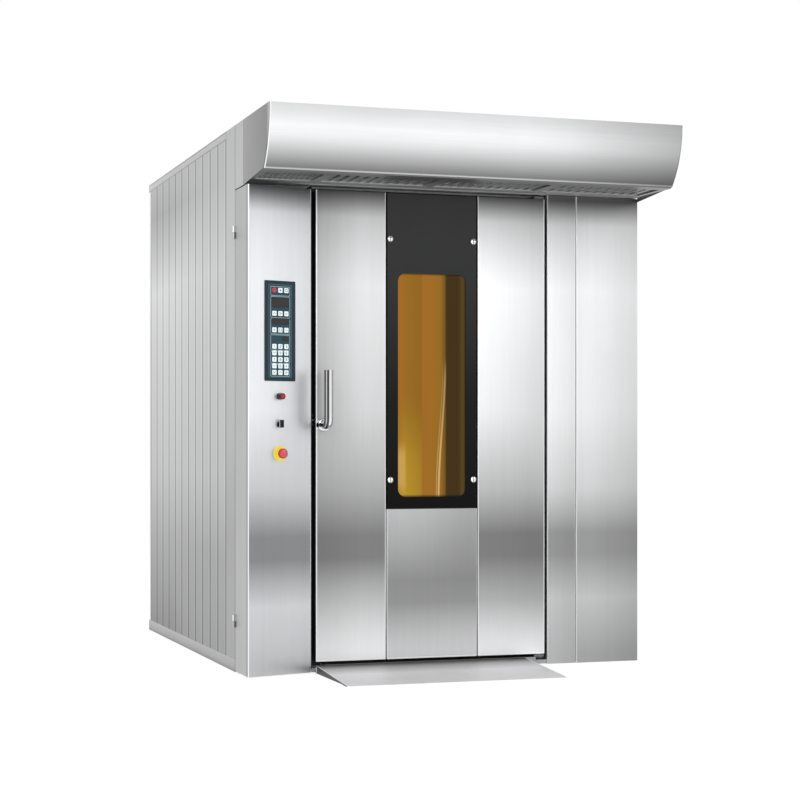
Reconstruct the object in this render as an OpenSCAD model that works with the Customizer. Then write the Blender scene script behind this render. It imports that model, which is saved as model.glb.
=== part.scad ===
// Rotating rack oven for one baking trolley: an insulated cabin with a floor turntable, an
// air circuit with a fan and heating rods behind the chamber, a hinged door with a tall
// window, a control column in front of a switch cabinet, and a steam hood across the front.
//
// Millimetres. +X is to the right seen from the front, +Y runs to the back, +Z is up.
// The modules are drawn with Y = 0 on the door's front face and X = 0 halfway across the
// casing. in_place() then moves them, so that the origin is on the floor, in the middle of
// the whole oven's outline.

/* [Casing] */
// Width across the side walls
oven_w = 1866; // [1820:1:1960]
// Depth from the door's front face to the rear wall
oven_d = 2186; // [2100:1:2400]
// Height of the side walls and of the hood's top
oven_h = 2400; // [2370:1:2500]
// Thickness of the insulated rear wall
wall_t = 164; // [140:1:175]
// Thickness of the insulated front wall around the door opening
front_wall_t = 78; // [60:1:90]
// Thickness of the insulation over the chamber
roof_t = 150; // [120:1:160]
// Thickness of the outer cladding
cladding_t = 12; // [8:1:16]
// Number of cladding cassettes on each side wall
side_cassettes = 11; // [6:1:14]
// Number of cladding cassettes on the rear wall
rear_cassettes = 11; // [6:1:14]
// Width of the groove between two cassettes
groove_w = 9; // [6:0.5:14]
// Depth of the groove between two cassettes
groove_d = 5; // [3:0.5:7]
// Width of the flat post behind the control column, along the side
side_post_w = 177; // [120:1:220]
// Width of each face of a rear corner post
corner_post_w = 69; // [50:1:90]
// Radius of a rear corner post's outer corner
corner_post_r = 30; // [15:1:40]
// Height of the trim along the top of the walls
trim_h = 38; // [25:1:60]
// Depth of the top trim, inwards from the wall's face
trim_w = 26; // [20:1:40]
// Height of the plinth strip
plinth_h = 56; // [40:1:80]
// Thickness of the plinth strip
plinth_t = 8; // [4:1:10]
// Thickness of the inner sheets
sheet_t = 2; // [1.5:0.1:3]
// Gap left where one fixed piece is seated on another
seat = 0.3; // [0.2:0.05:0.5]

/* [Baking chamber] */
// Width of the baking chamber
chamber_w = 1400; // [1340:1:1410]
// Width of the air duct beside the chamber, with its sheets
duct_w = 138; // [110:1:160]
// Depth of the baking chamber
chamber_d = 1400; // [1350:1:1450]
// Height of the baking chamber above its floor pan
chamber_h = 2082; // [2060:1:2092]
// Width of the door opening
opening_w = 990; // [940:1:1000]
// Height of the top of the door opening over the ground
opening_z = 2050; // [1990:1:2060]
// Height of one air slot in the air wall
slot_h = 330; // [200:5:360]
// Width of one air slot in the air wall
slot_w = 22; // [16:1:28]
// Number of air slots in a row
slot_count = 9; // [4:1:12]
// Number of rows of air slots
slot_rows = 5; // [3:1:5]
// Travel of the sliding shutter behind the air slots
shutter_travel = 24; // [10:1:30]
// Radius of a chamber lamp's glass tube
lamp_r = 17; // [12:1:22]
// Length of a chamber lamp's glass tube
lamp_l = 1100; // [600:10:1400]

/* [Floor and turntable] */
// Height of a levelling foot
foot_h = 6; // [5:0.5:8]
// Radius of a levelling foot
foot_r = 30; // [20:1:40]
// Height of the base frame's flat bars
frame_h = 18; // [16:0.5:20]
// Width of the base frame's flat bars
frame_bar_w = 60; // [40:1:80]
// Thickness of the floor pan
pan_t = 3.7; // [2:0.1:4]
// Height of the turntable plate above the floor pan
platform_gap = 3; // [2.5:0.1:4]
// Thickness of the turntable plate
platform_t = 6; // [5:0.5:8]
// Radius of the turntable plate
platform_r = 640; // [600:1:655]
// Radius of the turntable's pivot journal
journal_r = 30; // [20:1:40]
// Radius of the bearing housing around the journal
bearing_r = 75; // [60:1:90]
// Radial play of every shaft and pin in its bore
play = 0.05; // [0.02:0.01:0.08]
// Distance between the two wheel channels on the turntable
track_w = 660; // [560:1:700]
// Inner width of a wheel channel
channel_w = 60; // [50:1:80]
// Height of a wheel channel's sides
channel_h = 34; // [20:1:50]
// Length of a wheel channel
channel_l = 1000; // [800:5:1040]

/* [Door] */
// Width of the door leaf
door_w = 1076; // [1060:1:1090]
// Height of the door leaf
door_h = 2060; // [2040:1:2064]
// Height of the door's lower edge above the sill
door_lift = 15; // [13:0.5:18]
// Thickness of the door leaf
door_t = 84; // [80:1:90]
// Depth of the gasket between door and front wall
gasket_t = 8; // [6:0.5:12]
// Gap on the hinge side of the door
door_gap = 14; // [12:0.5:18]
// Gap between the control column and the door
column_gap = 22; // [18:1:26]
// Width of the left steel panel of the door
left_skin_w = 320; // [290:1:340]
// Width of the right steel panel of the door
right_skin_w = 323; // [290:1:340]
// Seam between neighbouring panels of the door
skin_seam = 4; // [2:0.5:6]
// Height of the lower steel panel between the side panels
lower_skin_h = 662; // [560:1:720]
// Radius of the panels' folded edges
fold_r = 4; // [3:0.5:5]
// Width of the window
window_w = 319; // [280:1:330]
// Height of the window
window_h = 990; // [800:5:1040]
// Height of the window's centre over the ground
window_z = 1263; // [1240:1:1280]
// Radius of the window's corners
window_r = 36; // [20:1:60]
// Thickness of the glass panes
glass_t = 6; // [4:0.5:8]
// Radius of a domed glass cap
cap_r = 14; // [10:0.5:16]
// Distance of the glass caps from the glass panel's side edges
cap_inset = 17; // [15:0.5:24]
// Height of the upper glass caps over the ground
cap_z_top = 1909; // [1850:1:1960]
// Height of the lower glass caps over the ground
cap_z_low = 843; // [800:1:880]
// Radius of the door's hinge pins
hinge_pin_r = 12; // [8:0.5:13]
// Distance of the door's pivot from its hinge-side edge
pivot_in_x = 25; // [22:0.5:28]
// Distance of the door's pivot from its front face
pivot_in_y = 24; // [22:0.5:28]

/* [Door latch] */
// Height of the door handle's spindle over the ground
handle_z = 1085; // [950:1:1150]
// Distance of the handle's spindle from the door's free edge
handle_in = 29; // [28:0.5:31]
// Radius of the handle's tube
handle_r = 19.5; // [12:0.5:21]
// Distance of the tube's axis from the door's face
handle_proud = 100; // [70:1:120]
// Height of the tube's open end over the spindle
handle_l = 236; // [160:1:300]
// Radius of the elbow between arm and tube
elbow_r = 30; // [24:1:40]
// Radius of the handle's spindle
spindle_r = 9; // [7:0.5:10]
// Radius of the rosette around the spindle
rosette_r = 28; // [22:0.5:28]
// Travel of the latch bolt
bolt_travel = 14; // [10:0.5:16]
// Radius of the latch bolt
bolt_r = 7; // [5:0.5:8]
// Height of the latch bolt over the spindle
bolt_up = 22; // [20:0.5:24]

/* [Front panels] */
// Width of the flat strip beside the door
strip_w = 141; // [100:1:180]
// Depth of the folded strip and of the wide panel
front_panel_t = 20; // [12:1:30]
// Thickness of the sheet of the door's and the column's panels
skin_t = 2; // [1.5:0.1:3]

/* [Control column] */
// How far the column's outer edge stands in front of the door
column_proud = 90; // [60:1:110]
// Depth of the column's side, behind the door's front face
column_side_d = 148; // [120:1:160]
// Clearance between the column cover and the ground
cover_lift = 6; // [4:0.5:10]
// Height of the column cover
cover_h = 2106; // [2080:1:2110]
// Gap between the cover's rear edge and the side post
cover_seam = 6; // [4:0.5:8]
// Radius of the cover's hinge knuckles
knuckle_r = 6; // [5:0.5:8]
// Length of one cover hinge
knuckle_l = 56; // [40:1:80]
// Height of the upper cover hinge's centre over the ground
cover_hinge_top = 1929; // [1700:1:2000]
// Height of the lower cover hinge's centre over the ground
cover_hinge_low = 226; // [150:1:400]
// Radius of the cover hinge pins
cover_pin_r = 3; // [2:0.1:3.5]
// Width of the membrane panel
membrane_w = 153; // [130:1:170]
// Height of the membrane panel
membrane_h = 432; // [400:1:460]
// Height of the membrane panel's centre over the ground
membrane_z = 1489; // [1450:1:1530]
// Distance of the controls' middle line from the column's outer edge
controls_u = 158; // [140:1:175]
// Side of one membrane key
key_w = 21; // [12:0.5:22]
// Distance between membrane keys
key_pitch = 30; // [24:0.5:34]
// Radius of the start button
button_r = 13.5; // [8:0.5:15]
// Distance that the start button stands out of the column
button_proud = 25; // [8:1:30]
// Travel of the start button
button_travel = 4; // [2:0.5:6]
// Height of the start button over the ground
button_z = 1207; // [1190:1:1240]
// Radius of the selector switch
selector_r = 14; // [10:0.5:16]
// Height of the selector switch over the ground
selector_z = 1086; // [1060:1:1120]
// Radius of the yellow ring behind the stop button
stop_ring_r = 33; // [26:0.5:36]
// Radius of the stop button's mushroom head
stop_r = 21.5; // [16:0.5:24]
// Travel of the stop button
stop_travel = 6; // [3:0.5:8]
// Height of the stop button over the ground
stop_z = 961; // [900:1:1000]

/* [Hood] */
// Depth of the hood's top in front of the door
hood_top_d = 456; // [400:1:480]
// Height of the valance
valance_h = 258; // [220:1:264]
// Radius of the valance's curve
valance_r = 380; // [330:1:480]
// Thickness of the hood's sheets
hood_sheet = 3; // [2:0.5:4]
// Number of filters in the hood
filter_count = 4; // [2:1:5]
// Number of baffles in one filter
baffle_count = 11; // [6:1:16]
// Distance of the exhaust spigot from the right side wall
exhaust_in = 433; // [300:1:600]
// Radius of the hood's exhaust spigot
exhaust_r = 100; // [80:1:120]
// Height of the exhaust spigot's rim over the ground
exhaust_z = 2530; // [2520:1:2600]

/* [Ramp] */
// Length of the ramp in front of the door
ramp_l = 485; // [460:1:560]
// Width of the ramp
ramp_w = 985; // [900:1:990]
// Shift of the ramp from the door's middle
ramp_shift = -48; // [-50:1:0]
// Thickness of the ramp's sheet
ramp_t = 4; // [3:0.5:5]

/* [Air circuit] */
// Height of the fan motor
fan_motor_h = 270; // [200:1:320]
// Height of the steam generator over the chamber's floor
steam_h = 1270; // [900:1:1500]
// Radius of the circulation fan's wheel
fan_r = 190; // [150:1:200]
// Height of the fan wheel's blades
fan_h = 100; // [60:1:110]
// Number of blades on the circulation fan
fan_blades = 10; // [6:1:14]
// Radius of the circulation fan's shaft
fan_shaft_r = 16; // [12:1:20]
// Height of the fan deck over the ground
deck_z = 1920; // [1850:1:1930]
// Radius of the heating rods
rod_r = 7; // [5:0.5:8]
// Number of heating rods in a row
rods_x = 5; // [2:1:6]
// Number of rows of heating rods
rods_y = 3; // [2:1:3]
// Length of the heating rods below the ceiling
rod_l = 1500; // [900:10:1700]
// Number of trays in the steam generator
tray_count = 8; // [4:1:10]

/* [Rack drive] */
// Radius of the rack drive's vertical shaft
drive_r = 20; // [16:0.5:24]
// Height of the rack fork's lower end over the ground
fork_z = 1945; // [1930:1:1980]
// Length of the rack fork's crossbar
fork_w = 420; // [300:5:520]
// Radius of the drive motor
motor_r = 60; // [50:1:62]
// Length of the drive motor
motor_l = 230; // [160:5:300]

/* [Flue and water] */
// Outer radius of the steam flue
flue_r = 60; // [50:1:75]
// Height of the flue's rim over the ground
flue_z = 2530; // [2520:1:2600]
// Radius of the flue damper's spindle
damper_spindle_r = 5; // [4:0.5:6]
// Outer radius of the water pipe
water_r = 13.2; // [10:0.1:16]
// Outer radius of the drain pipe
drain_r = 16.8; // [12:0.1:20]
// How far the water and drain stubs stand out of the rear wall
service_proud = 40; // [30:1:60]

/* [Hidden] */
$fn = 48;

// Plan of the casing
left_x = -oven_w / 2;
right_x = oven_w / 2;
side_wall_t = (oven_w - chamber_w - duct_w) / 2;
inner_left_x = left_x + side_wall_t;
inner_right_x = right_x - side_wall_t;
chamber_right_x = inner_left_x + chamber_w;
door_cx = inner_left_x + chamber_w / 2;
door_x0 = door_cx - door_w / 2;
door_x1 = door_cx + door_w / 2;
open_x0 = door_cx - opening_w / 2;
open_x1 = door_cx + opening_w / 2;
column_x1 = door_x0 - column_gap;
strip_x0 = door_x1 + door_gap;
strip_x1 = strip_x0 + strip_w;
front_y0 = door_t + gasket_t;
front_y1 = front_y0 + front_wall_t;
chamber_y1 = front_y1 + chamber_d;
plenum_y0 = chamber_y1 + sheet_t;
plenum_y1 = oven_d - wall_t;
post_y0 = column_side_d + cover_seam;
post_y1 = post_y0 + side_post_w;
turn_y = front_y1 + chamber_d / 2;

// Levels
frame_z = foot_h + frame_h;
floor_z = frame_z + seat + pan_t;
plate_z = floor_z + platform_gap;
walk_z = plate_z + platform_t;
ceiling_z = floor_z + chamber_h;
roof_z = ceiling_z + sheet_t + roof_t;
roof_panel_t = 3;
deckhouse_z = roof_z + seat + roof_panel_t;
door_z0 = walk_z + door_lift;
door_z1 = door_z0 + door_h;
frame_top = door_z1 + 16;
cover_z1 = cover_lift + cover_h;
valance_z = oven_h - valance_h;
soffit_t = 6;

// The whole outline, for the origin
knuckle_x = left_x - knuckle_r - seat;
outline_left = knuckle_x - knuckle_r;
outline_front = -max(ramp_l, hood_top_d);
outline_back = oven_d + service_proud;

// Control column: angle of its face and a place on it
face_angle = atan(column_proud / (column_x1 - left_x));

module in_place() {
  translate([-(outline_left + right_x) / 2, -(outline_front + outline_back) / 2, 0])
    children();
}

// Box between two opposite corners
module slab(low, high) {
  translate(low) cube(high - low);
}

// Round bars along the three directions, each between two ends
module bar_z(x, y, z0, z1, r) {
  translate([x, y, z0]) cylinder(h = z1 - z0, r = r);
}

module bar_x(x0, x1, y, z, r) {
  translate([x0, y, z]) rotate([0, 90, 0]) cylinder(h = x1 - x0, r = r);
}

module bar_y(x, y0, y1, z, r) {
  translate([x, y0, z]) rotate([-90, 0, 0]) cylinder(h = y1 - y0, r = r);
}

module tube_z(x, y, z0, z1, r_out, r_in) {
  difference() {
    bar_z(x, y, z0, z1, r_out);
    bar_z(x, y, z0 - 1, z1 + 1, r_in);
  }
}

// Flat outline with round corners, centred
module round_rect(w, h, r) {
  square([w - 2 * r, h], center = true);
  square([w, h - 2 * r], center = true);
  for (sx = [-1, 1], sy = [-1, 1])
    translate([sx * (w / 2 - r), sy * (h / 2 - r)]) circle(r);
}

// Upright plate with a round-cornered outline, between two depths
module upright_plate(cx, cz, w, h, r, y0, y1) {
  translate([cx, y1, cz]) rotate([90, 0, 0]) linear_extrude(y1 - y0) round_rect(w, h, r);
}

// Children at a place on the column's face: x along the face, y into the column
module on_face(u, z) {
  translate([left_x, -column_proud, 0]) rotate([0, 0, face_angle]) translate([u, 0, z])
    children();
}

// ---------------------------------------------------------------- places derived for pieces

// Drive, fan, heater, flue and service positions
fan_x = inner_left_x + 519;
fan_y = (plenum_y0 + plenum_y1) / 2;
rod_pitch = 90;
hairpin_r = 22;
heater_x = chamber_right_x - 60 - rods_x * rod_pitch / 2;
heater_w = rods_x * rod_pitch + 20;
heater_d = rods_y * rod_pitch + 20;
flue_x = inner_left_x + 209;
flue_y = turn_y + 330;
damper_z = deckhouse_z + 75;
water_x = inner_left_x + 219;
water_z = deckhouse_z + 55;
water_drop_y = fan_y + 70;
drain_x = inner_left_x + 470;
drain_z = floor_z + drain_r + 4;
deck_t = 4;
// Length of a pipe's free end that a duct or hose goes over, and of the stop behind it
spigot_l = 140;
collar_t = 4;
exhaust_x = right_x - exhaust_in;
exhaust_y = 400;
bolt_z = handle_z + bolt_up;
bolt_y = 54;
stud_r = 4;
skin_d = 11;
stile_w = 54;
hinge_x = door_x1 - pivot_in_x;
hinge_y = pivot_in_y;
handle_x = door_x0 + handle_in;
jamb_x1 = strip_x0 - 3;
mid_x0 = door_x0 + left_skin_w;
mid_x1 = door_x1 - right_skin_w;
window_x = (mid_x0 + mid_x1) / 2;
glass_x0 = mid_x0 + skin_seam;
glass_x1 = mid_x1 - skin_seam;
glass_z0 = door_z0 + lower_skin_h + skin_seam;
glass_y0 = 3;
stile_y0 = 14;
pane_t = stile_y0 - glass_y0 - glass_t - 2 * seat;
stile_y1 = door_t - sheet_t - seat;
window_lap = 12;
gasket_w = 13;
gasket_x1 = hinge_x - 1;
gasket_x0 = door_x0 + 21;
gasket_z1 = opening_z + 12 + gasket_w;
yc_valance = valance_r - hood_top_d;
valance_low_y = yc_valance - sqrt(valance_r * valance_r - valance_h * valance_h);
seam_mid = column_side_d + cover_seam / 2;
shutter_x = chamber_right_x + sheet_t + seat;
shutter_z0 = floor_z + 72;
shutter_z1 = ceiling_z - 60;
slot_pitch_y = (chamber_d - 200) / slot_count;
slot_pitch_z = (shutter_z1 - shutter_z0 - 60) / slot_rows;
cab_x0 = left_x + 12;
cab_x1 = column_x1 - 16;
cab_y0 = 14;
cab_y1 = front_y0 - seat;
cab_z0 = 60;
cab_z1 = cover_z1 - 50;

// ---------------------------------------------------------------- base and floor

module levelling_feet() {
  foot_x = left_x + plinth_t + seat + frame_bar_w / 2;
  color("dimgray") in_place()
    for (x = [foot_x, -foot_x], y = [front_y0 + frame_bar_w / 2, turn_y, oven_d - plinth_t - 40])
      bar_z(x, y, 0, foot_h, foot_r);
}

module base_frame() {
  x0 = left_x + plinth_t + seat;
  x1 = x0 + frame_bar_w;
  y0 = front_y0;
  y1 = oven_d - plinth_t - seat;
  cross_y = [y0, plenum_y0, y1 - frame_bar_w];
  color("slategray") in_place() {
    slab([x0, y0, foot_h], [x1, y1, frame_z]);
    slab([-x1, front_panel_t + seat, foot_h], [-x0, y1, frame_z]);
    for (y = cross_y)
      slab([x1 + seat, y, foot_h], [-x1 - seat, y + frame_bar_w, frame_z]);
    // bars under the sill and behind the side panels
    slab([column_x1 + 4, 4, foot_h], [strip_x0 - seat, 4 + frame_bar_w, frame_z]);
    slab([strip_x0, front_panel_t + seat, foot_h], [-x1 - seat, 4 + frame_bar_w, frame_z]);
    // half bars on both sides of the turntable's bearing
    slab([x1 + seat, turn_y - frame_bar_w / 2, foot_h],
         [door_cx - bearing_r - seat, turn_y + frame_bar_w / 2, frame_z]);
    slab([door_cx + bearing_r + seat, turn_y - frame_bar_w / 2, foot_h],
         [-x1 - seat, turn_y + frame_bar_w / 2, frame_z]);
  }
}

module floor_pan() {
  sill_y1 = front_y1 + 150;
  color("silver") in_place() {
    difference() {
      slab([inner_left_x - sheet_t, front_y1 + seat, frame_z + seat],
           [inner_right_x + sheet_t, plenum_y1 + sheet_t, floor_z]);
      bar_z(door_cx, turn_y, 0, walk_z, bearing_r + seat);
    }
    // sill between the door and the turntable, hollowed to the turntable's edge
    difference() {
      union() {
        slab([open_x0 + seat, seat, floor_z + seat], [open_x1 - seat, sill_y1, walk_z]);
        slab([open_x0 + seat, seat, frame_z + seat],
             [open_x1 - seat, front_y1, floor_z + 1]);
      }
      bar_z(door_cx, turn_y, 0, walk_z + 1, platform_r + 4);
    }
  }
}

module turntable_bearing() {
  pads = 8;
  color("darkgoldenrod") in_place() {
    tube_z(door_cx, turn_y, 0, plate_z - seat, bearing_r, journal_r + play);
    for (i = [0:pads - 1]) {
      a = (i + 0.5) * 360 / pads;
      bar_z(door_cx + (platform_r - 70) * cos(a), turn_y + (platform_r - 70) * sin(a),
            floor_z + seat, plate_z - seat, 24);
    }
  }
}

module turntable() {
  color("gainsboro") in_place() {
    bar_z(door_cx, turn_y, plate_z, walk_z, platform_r);
    bar_z(door_cx, turn_y, foot_h, plate_z + 1, journal_r);
  }
}

module wheel_channels() {
  side_t = 4;
  z0 = walk_z + seat;
  color("lightgray") in_place() translate([door_cx, turn_y, z0])
    for (s = [-1, 1]) {
      for (e = [-1, 1]) {
        x = s * track_w / 2 + e * (channel_w + side_t) / 2;
        slab([x - side_t / 2, -channel_l / 2, 0], [x + side_t / 2, channel_l / 2, channel_h]);
      }
      slab([s * track_w / 2 - channel_w / 2 + seat, channel_l / 2 - 12, 0],
           [s * track_w / 2 + channel_w / 2 - seat, channel_l / 2, channel_h]);
    }
}

module ramp() {
  lip = 3;
  x0 = door_cx + ramp_shift - ramp_w / 2;
  x1 = x0 + ramp_w;
  top = walk_z - 1;
  cheek_in = 6;
  cheek_t = 3;
  color("silver") in_place() {
    translate([x0, 0, 0]) rotate([90, 0, 90]) linear_extrude(ramp_w)
      polygon([[-ramp_l, 0], [-ramp_l, lip], [-ramp_t, top], [0, top], [0, 0],
               [-ramp_t, 0], [-ramp_t, top - ramp_t], [-ramp_l + 45, 0]]);
    for (x = [x0 + cheek_in, x1 - cheek_in - cheek_t])
      translate([x, 0, 0]) rotate([90, 0, 90]) linear_extrude(cheek_t)
        polygon([[-ramp_l + 30, 0], [-ramp_t, top - 1], [-ramp_t, 0]]);
  }
}

// ---------------------------------------------------------------- walls

// Openings through the roof for the shafts, the flue, the water pipe and the heating rods
module roof_openings(z0, z1) {
  bar_z(door_cx, turn_y, z0, z1, drive_r + 12);
  bar_z(fan_x, fan_y, z0, z1, fan_shaft_r + 12);
  bar_z(flue_x, flue_y, z0, z1, flue_r + seat);
  bar_z(water_x, water_drop_y, z0, z1, water_r + seat);
  slab([heater_x - heater_w / 2 - seat, fan_y - heater_d / 2 - seat, z0],
       [heater_x + heater_w / 2 + seat, fan_y + heater_d / 2 + seat, z1]);
}

module service_holes(y0, y1) {
  bar_y(water_x, y0, y1, water_z, water_r + seat);
  bar_y(drain_x, y0, y1, drain_z, drain_r + seat);
}

module wall_insulation() {
  out_x = cladding_t + seat;
  in_x = sheet_t + seat;
  z0 = frame_z + seat;
  back_y = oven_d - cladding_t - seat;
  color("khaki") in_place() {
    slab([left_x + out_x, front_y0 + seat, z0], [inner_left_x - in_x, back_y, roof_z]);
    slab([inner_right_x + in_x, front_y0 + seat, z0], [right_x - out_x, back_y, roof_z]);
    difference() {
      slab([inner_left_x - sheet_t, plenum_y1 + in_x, z0],
           [inner_right_x + sheet_t, back_y, roof_z]);
      service_holes(plenum_y1, oven_d);
    }
    // front wall on both sides of the door frame
    slab([inner_left_x - sheet_t, front_y0 + seat, z0],
         [column_x1 + 1 - seat, front_y1 - in_x, frame_top]);
    slab([jamb_x1 + seat, front_y0 + seat, z0],
         [inner_right_x + sheet_t, front_y1 - in_x, frame_top]);
    // over the door and over the chamber
    slab([left_x + out_x, 4, frame_top + 8], [right_x - out_x, front_y0, roof_z]);
    slab([inner_left_x - sheet_t, front_y0 + seat, frame_top + seat],
         [inner_right_x + sheet_t, front_y1, roof_z]);
    difference() {
      slab([inner_left_x - sheet_t, front_y1 + seat, ceiling_z + in_x],
           [inner_right_x + sheet_t, plenum_y1 + sheet_t, roof_z]);
      roof_openings(ceiling_z, roof_z + 1);
    }
  }
}

module chamber_liner() {
  z0 = floor_z + seat;
  z1 = ceiling_z - seat;
  vents_x = 8;
  vents_z = 9;
  vent_w = 90;
  vent_h = 22;
  vent_pitch_x = (chamber_w - 200) / vents_x;
  vent_pitch_z = 130;
  color("lightsteelblue") in_place() {
    slab([inner_left_x - sheet_t, front_y1, z0], [inner_left_x, plenum_y1, z1]);
    slab([inner_right_x, front_y1, z0], [inner_right_x + sheet_t, plenum_y1, z1]);
    difference() {
      slab([inner_left_x - sheet_t, plenum_y1, z0],
           [inner_right_x + sheet_t, plenum_y1 + sheet_t, z1]);
      service_holes(plenum_y1 - 1, oven_d);
    }
    slab([inner_left_x, front_y1 - sheet_t, z0], [column_x1 + 1 - seat, front_y1 - seat, z1]);
    slab([jamb_x1 + seat, front_y1 - sheet_t, z0], [inner_right_x, front_y1 - seat, z1]);
    // rear wall of the chamber with its return-air vents
    difference() {
      slab([inner_left_x + seat, chamber_y1, z0], [chamber_right_x, chamber_y1 + sheet_t, z1]);
      for (i = [0:vents_x - 1], j = [0:vents_z - 1])
        translate([inner_left_x + 100 + (i + 0.5) * vent_pitch_x - vent_w / 2,
                   chamber_y1 - 1, floor_z + 90 + j * vent_pitch_z])
          cube([vent_w, sheet_t + 2, vent_h]);
    }
    // partition between the fan space and the air duct
    slab([chamber_right_x, plenum_y0 + seat, z0],
         [chamber_right_x + sheet_t, plenum_y1 - seat, deck_z - deck_t - seat]);
    difference() {
      slab([inner_left_x - sheet_t, front_y1 + seat, ceiling_z],
           [inner_right_x + sheet_t, plenum_y1 + sheet_t, ceiling_z + sheet_t]);
      roof_openings(ceiling_z - 1, roof_z);
    }
  }
}

module air_slots(x0, x1) {
  for (i = [0:slot_count - 1], j = [0:slot_rows - 1])
    slab([x0, front_y1 + 85 + (i + 0.5) * slot_pitch_y - slot_w / 2,
          shutter_z0 + 30 + (j + 0.5) * slot_pitch_z - slot_h / 2],
         [x1, front_y1 + 85 + (i + 0.5) * slot_pitch_y + slot_w / 2,
          shutter_z0 + 30 + (j + 0.5) * slot_pitch_z + slot_h / 2]);
}

module air_wall() {
  rail_h = 10;
  lip_x = shutter_x + sheet_t + seat;
  color("lightsteelblue") in_place() {
    difference() {
      slab([chamber_right_x, front_y1 + seat, floor_z + seat],
           [chamber_right_x + sheet_t, chamber_y1 - seat, ceiling_z - seat]);
      air_slots(chamber_right_x - 1, shutter_x + 1);
    }
    // rails that carry and hold the shutter
    for (side = [-1, 1]) {
      z = side < 0 ? shutter_z0 : shutter_z1;
      y0 = front_y1 + 30;
      y1 = chamber_y1 - 30;
      slab([chamber_right_x + sheet_t - 0.5, y0, min(z + side * seat, z + side * rail_h)],
           [lip_x + 3, y1, max(z + side * seat, z + side * rail_h)]);
      slab([lip_x, y0, min(z + side * rail_h, z - side * rail_h)],
           [lip_x + 3, y1, max(z + side * rail_h, z - side * rail_h)]);
    }
  }
}

module air_shutter() {
  color("gray") in_place() difference() {
    slab([shutter_x, front_y1 + 40, shutter_z0],
         [shutter_x + sheet_t, chamber_y1 - 40 - shutter_travel, shutter_z1]);
    air_slots(shutter_x - 1, shutter_x + sheet_t + 1);
  }
}

// A row of upright cassettes along a wall, with a groove between neighbours.
// start and the two directions are in plan; depth is measured inwards from the wall's face.
module cassette_row(start, along, inward, length, count, z0, z1) {
  pitch = length / count;
  bevel = groove_w / 2;
  joint = 0.4;
  section = [[bevel, 0], [pitch - bevel, 0], [pitch - joint, groove_d],
             [pitch - joint, cladding_t], [joint, cladding_t], [joint, groove_d]];
  for (i = [0:count - 1])
    translate([0, 0, z0]) linear_extrude(z1 - z0)
      polygon([for (p = section) start + (i * pitch + p[0]) * along + p[1] * inward]);
}

cladding_z0 = plinth_h + seat;
cladding_z1 = oven_h - trim_h - seat;
cladding_l = oven_d - corner_post_w - post_y1;

module side_cladding() {
  color("silver") in_place() for (s = [0, 1]) mirror([s, 0, 0])
    cassette_row([left_x, post_y1], [0, 1], [1, 0], cladding_l, side_cassettes,
                 cladding_z0, cladding_z1);
}

module rear_cladding() {
  color("silver") in_place() difference() {
    cassette_row([left_x + corner_post_w, oven_d], [1, 0], [0, -1],
                 oven_w - 2 * corner_post_w, rear_cassettes, cladding_z0, cladding_z1);
    service_holes(oven_d - cladding_t - 1, oven_d + 1);
  }
}

// Folded corner strip with a round outer corner at the origin
module corner_outline() {
  w = corner_post_w - 0.5;
  r = corner_post_r;
  difference() {
    union() {
      translate([r, 0]) square([w - r, w]);
      translate([0, r]) square([w, w - r]);
      translate([r, r]) circle(r);
    }
    translate([cladding_t, cladding_t]) square(w);
  }
}

module body_posts() {
  upright_w = 36;
  color("lightgray") in_place() {
    slab([left_x, post_y0, plinth_h + seat], [left_x + cladding_t, post_y1 - 0.5, oven_h]);
    slab([left_x, seat, cover_z1 + 6], [left_x + cladding_t, column_side_d, oven_h]);
    slab([right_x - cladding_t, front_panel_t + seat, plinth_h + seat],
         [right_x, post_y1 - 0.5, oven_h]);
    for (x = [strip_x0 + 4, strip_x1 - upright_w / 2, right_x - cladding_t - upright_w - 2])
      slab([x, front_panel_t + seat, frame_z + seat], [x + upright_w, front_y0, frame_top]);
    for (s = [0, 1]) mirror([s, 0, 0]) translate([left_x, oven_d, cladding_z0])
      linear_extrude(cladding_z1 - cladding_z0) mirror([0, 1]) corner_outline();
  }
}

module top_trim() {
  z0 = oven_h - trim_h;
  color("gainsboro") in_place() {
    for (s = [0, 1]) mirror([s, 0, 0])
      slab([left_x, post_y1, z0], [left_x + trim_w, oven_d, oven_h]);
    slab([left_x + trim_w + seat, oven_d - trim_w, z0],
         [right_x - trim_w - seat, oven_d, oven_h]);
  }
}

module plinth() {
  z0 = 2;
  color("lightgray") in_place() {
    slab([left_x, post_y0, z0], [left_x + plinth_t, oven_d, plinth_h]);
    slab([right_x - plinth_t, front_panel_t + seat, z0], [right_x, oven_d, plinth_h]);
    difference() {
      slab([left_x + plinth_t + seat, oven_d - plinth_t, z0],
           [right_x - plinth_t - seat, oven_d, plinth_h]);
      service_holes(oven_d - plinth_t - 1, oven_d + 1);
    }
  }
}

module roof_panel() {
  color("gray") in_place() difference() {
    slab([left_x + cladding_t + seat, seat, roof_z + seat],
         [right_x - cladding_t - seat, oven_d - cladding_t - seat, deckhouse_z]);
    roof_openings(roof_z, deckhouse_z + 1);
  }
}

// ---------------------------------------------------------------- front

// Folded sheet panel, open at the back, with round vertical edges. y = 0 is its front.
module folded_outline(x0, x1, depth, t, r) {
  difference() {
    union() {
      translate([x0 + r, 0]) square([x1 - x0 - 2 * r, depth]);
      translate([x0, r]) square([x1 - x0, depth - r]);
      for (x = [x0 + r, x1 - r]) translate([x, r]) circle(r);
    }
    translate([x0 + r, t]) square([x1 - x0 - 2 * r, depth]);
    translate([x0 + t, r]) square([x1 - x0 - 2 * t, depth]);
    for (x = [x0 + r, x1 - r]) translate([x, r]) circle(r - t);
  }
}

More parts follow.
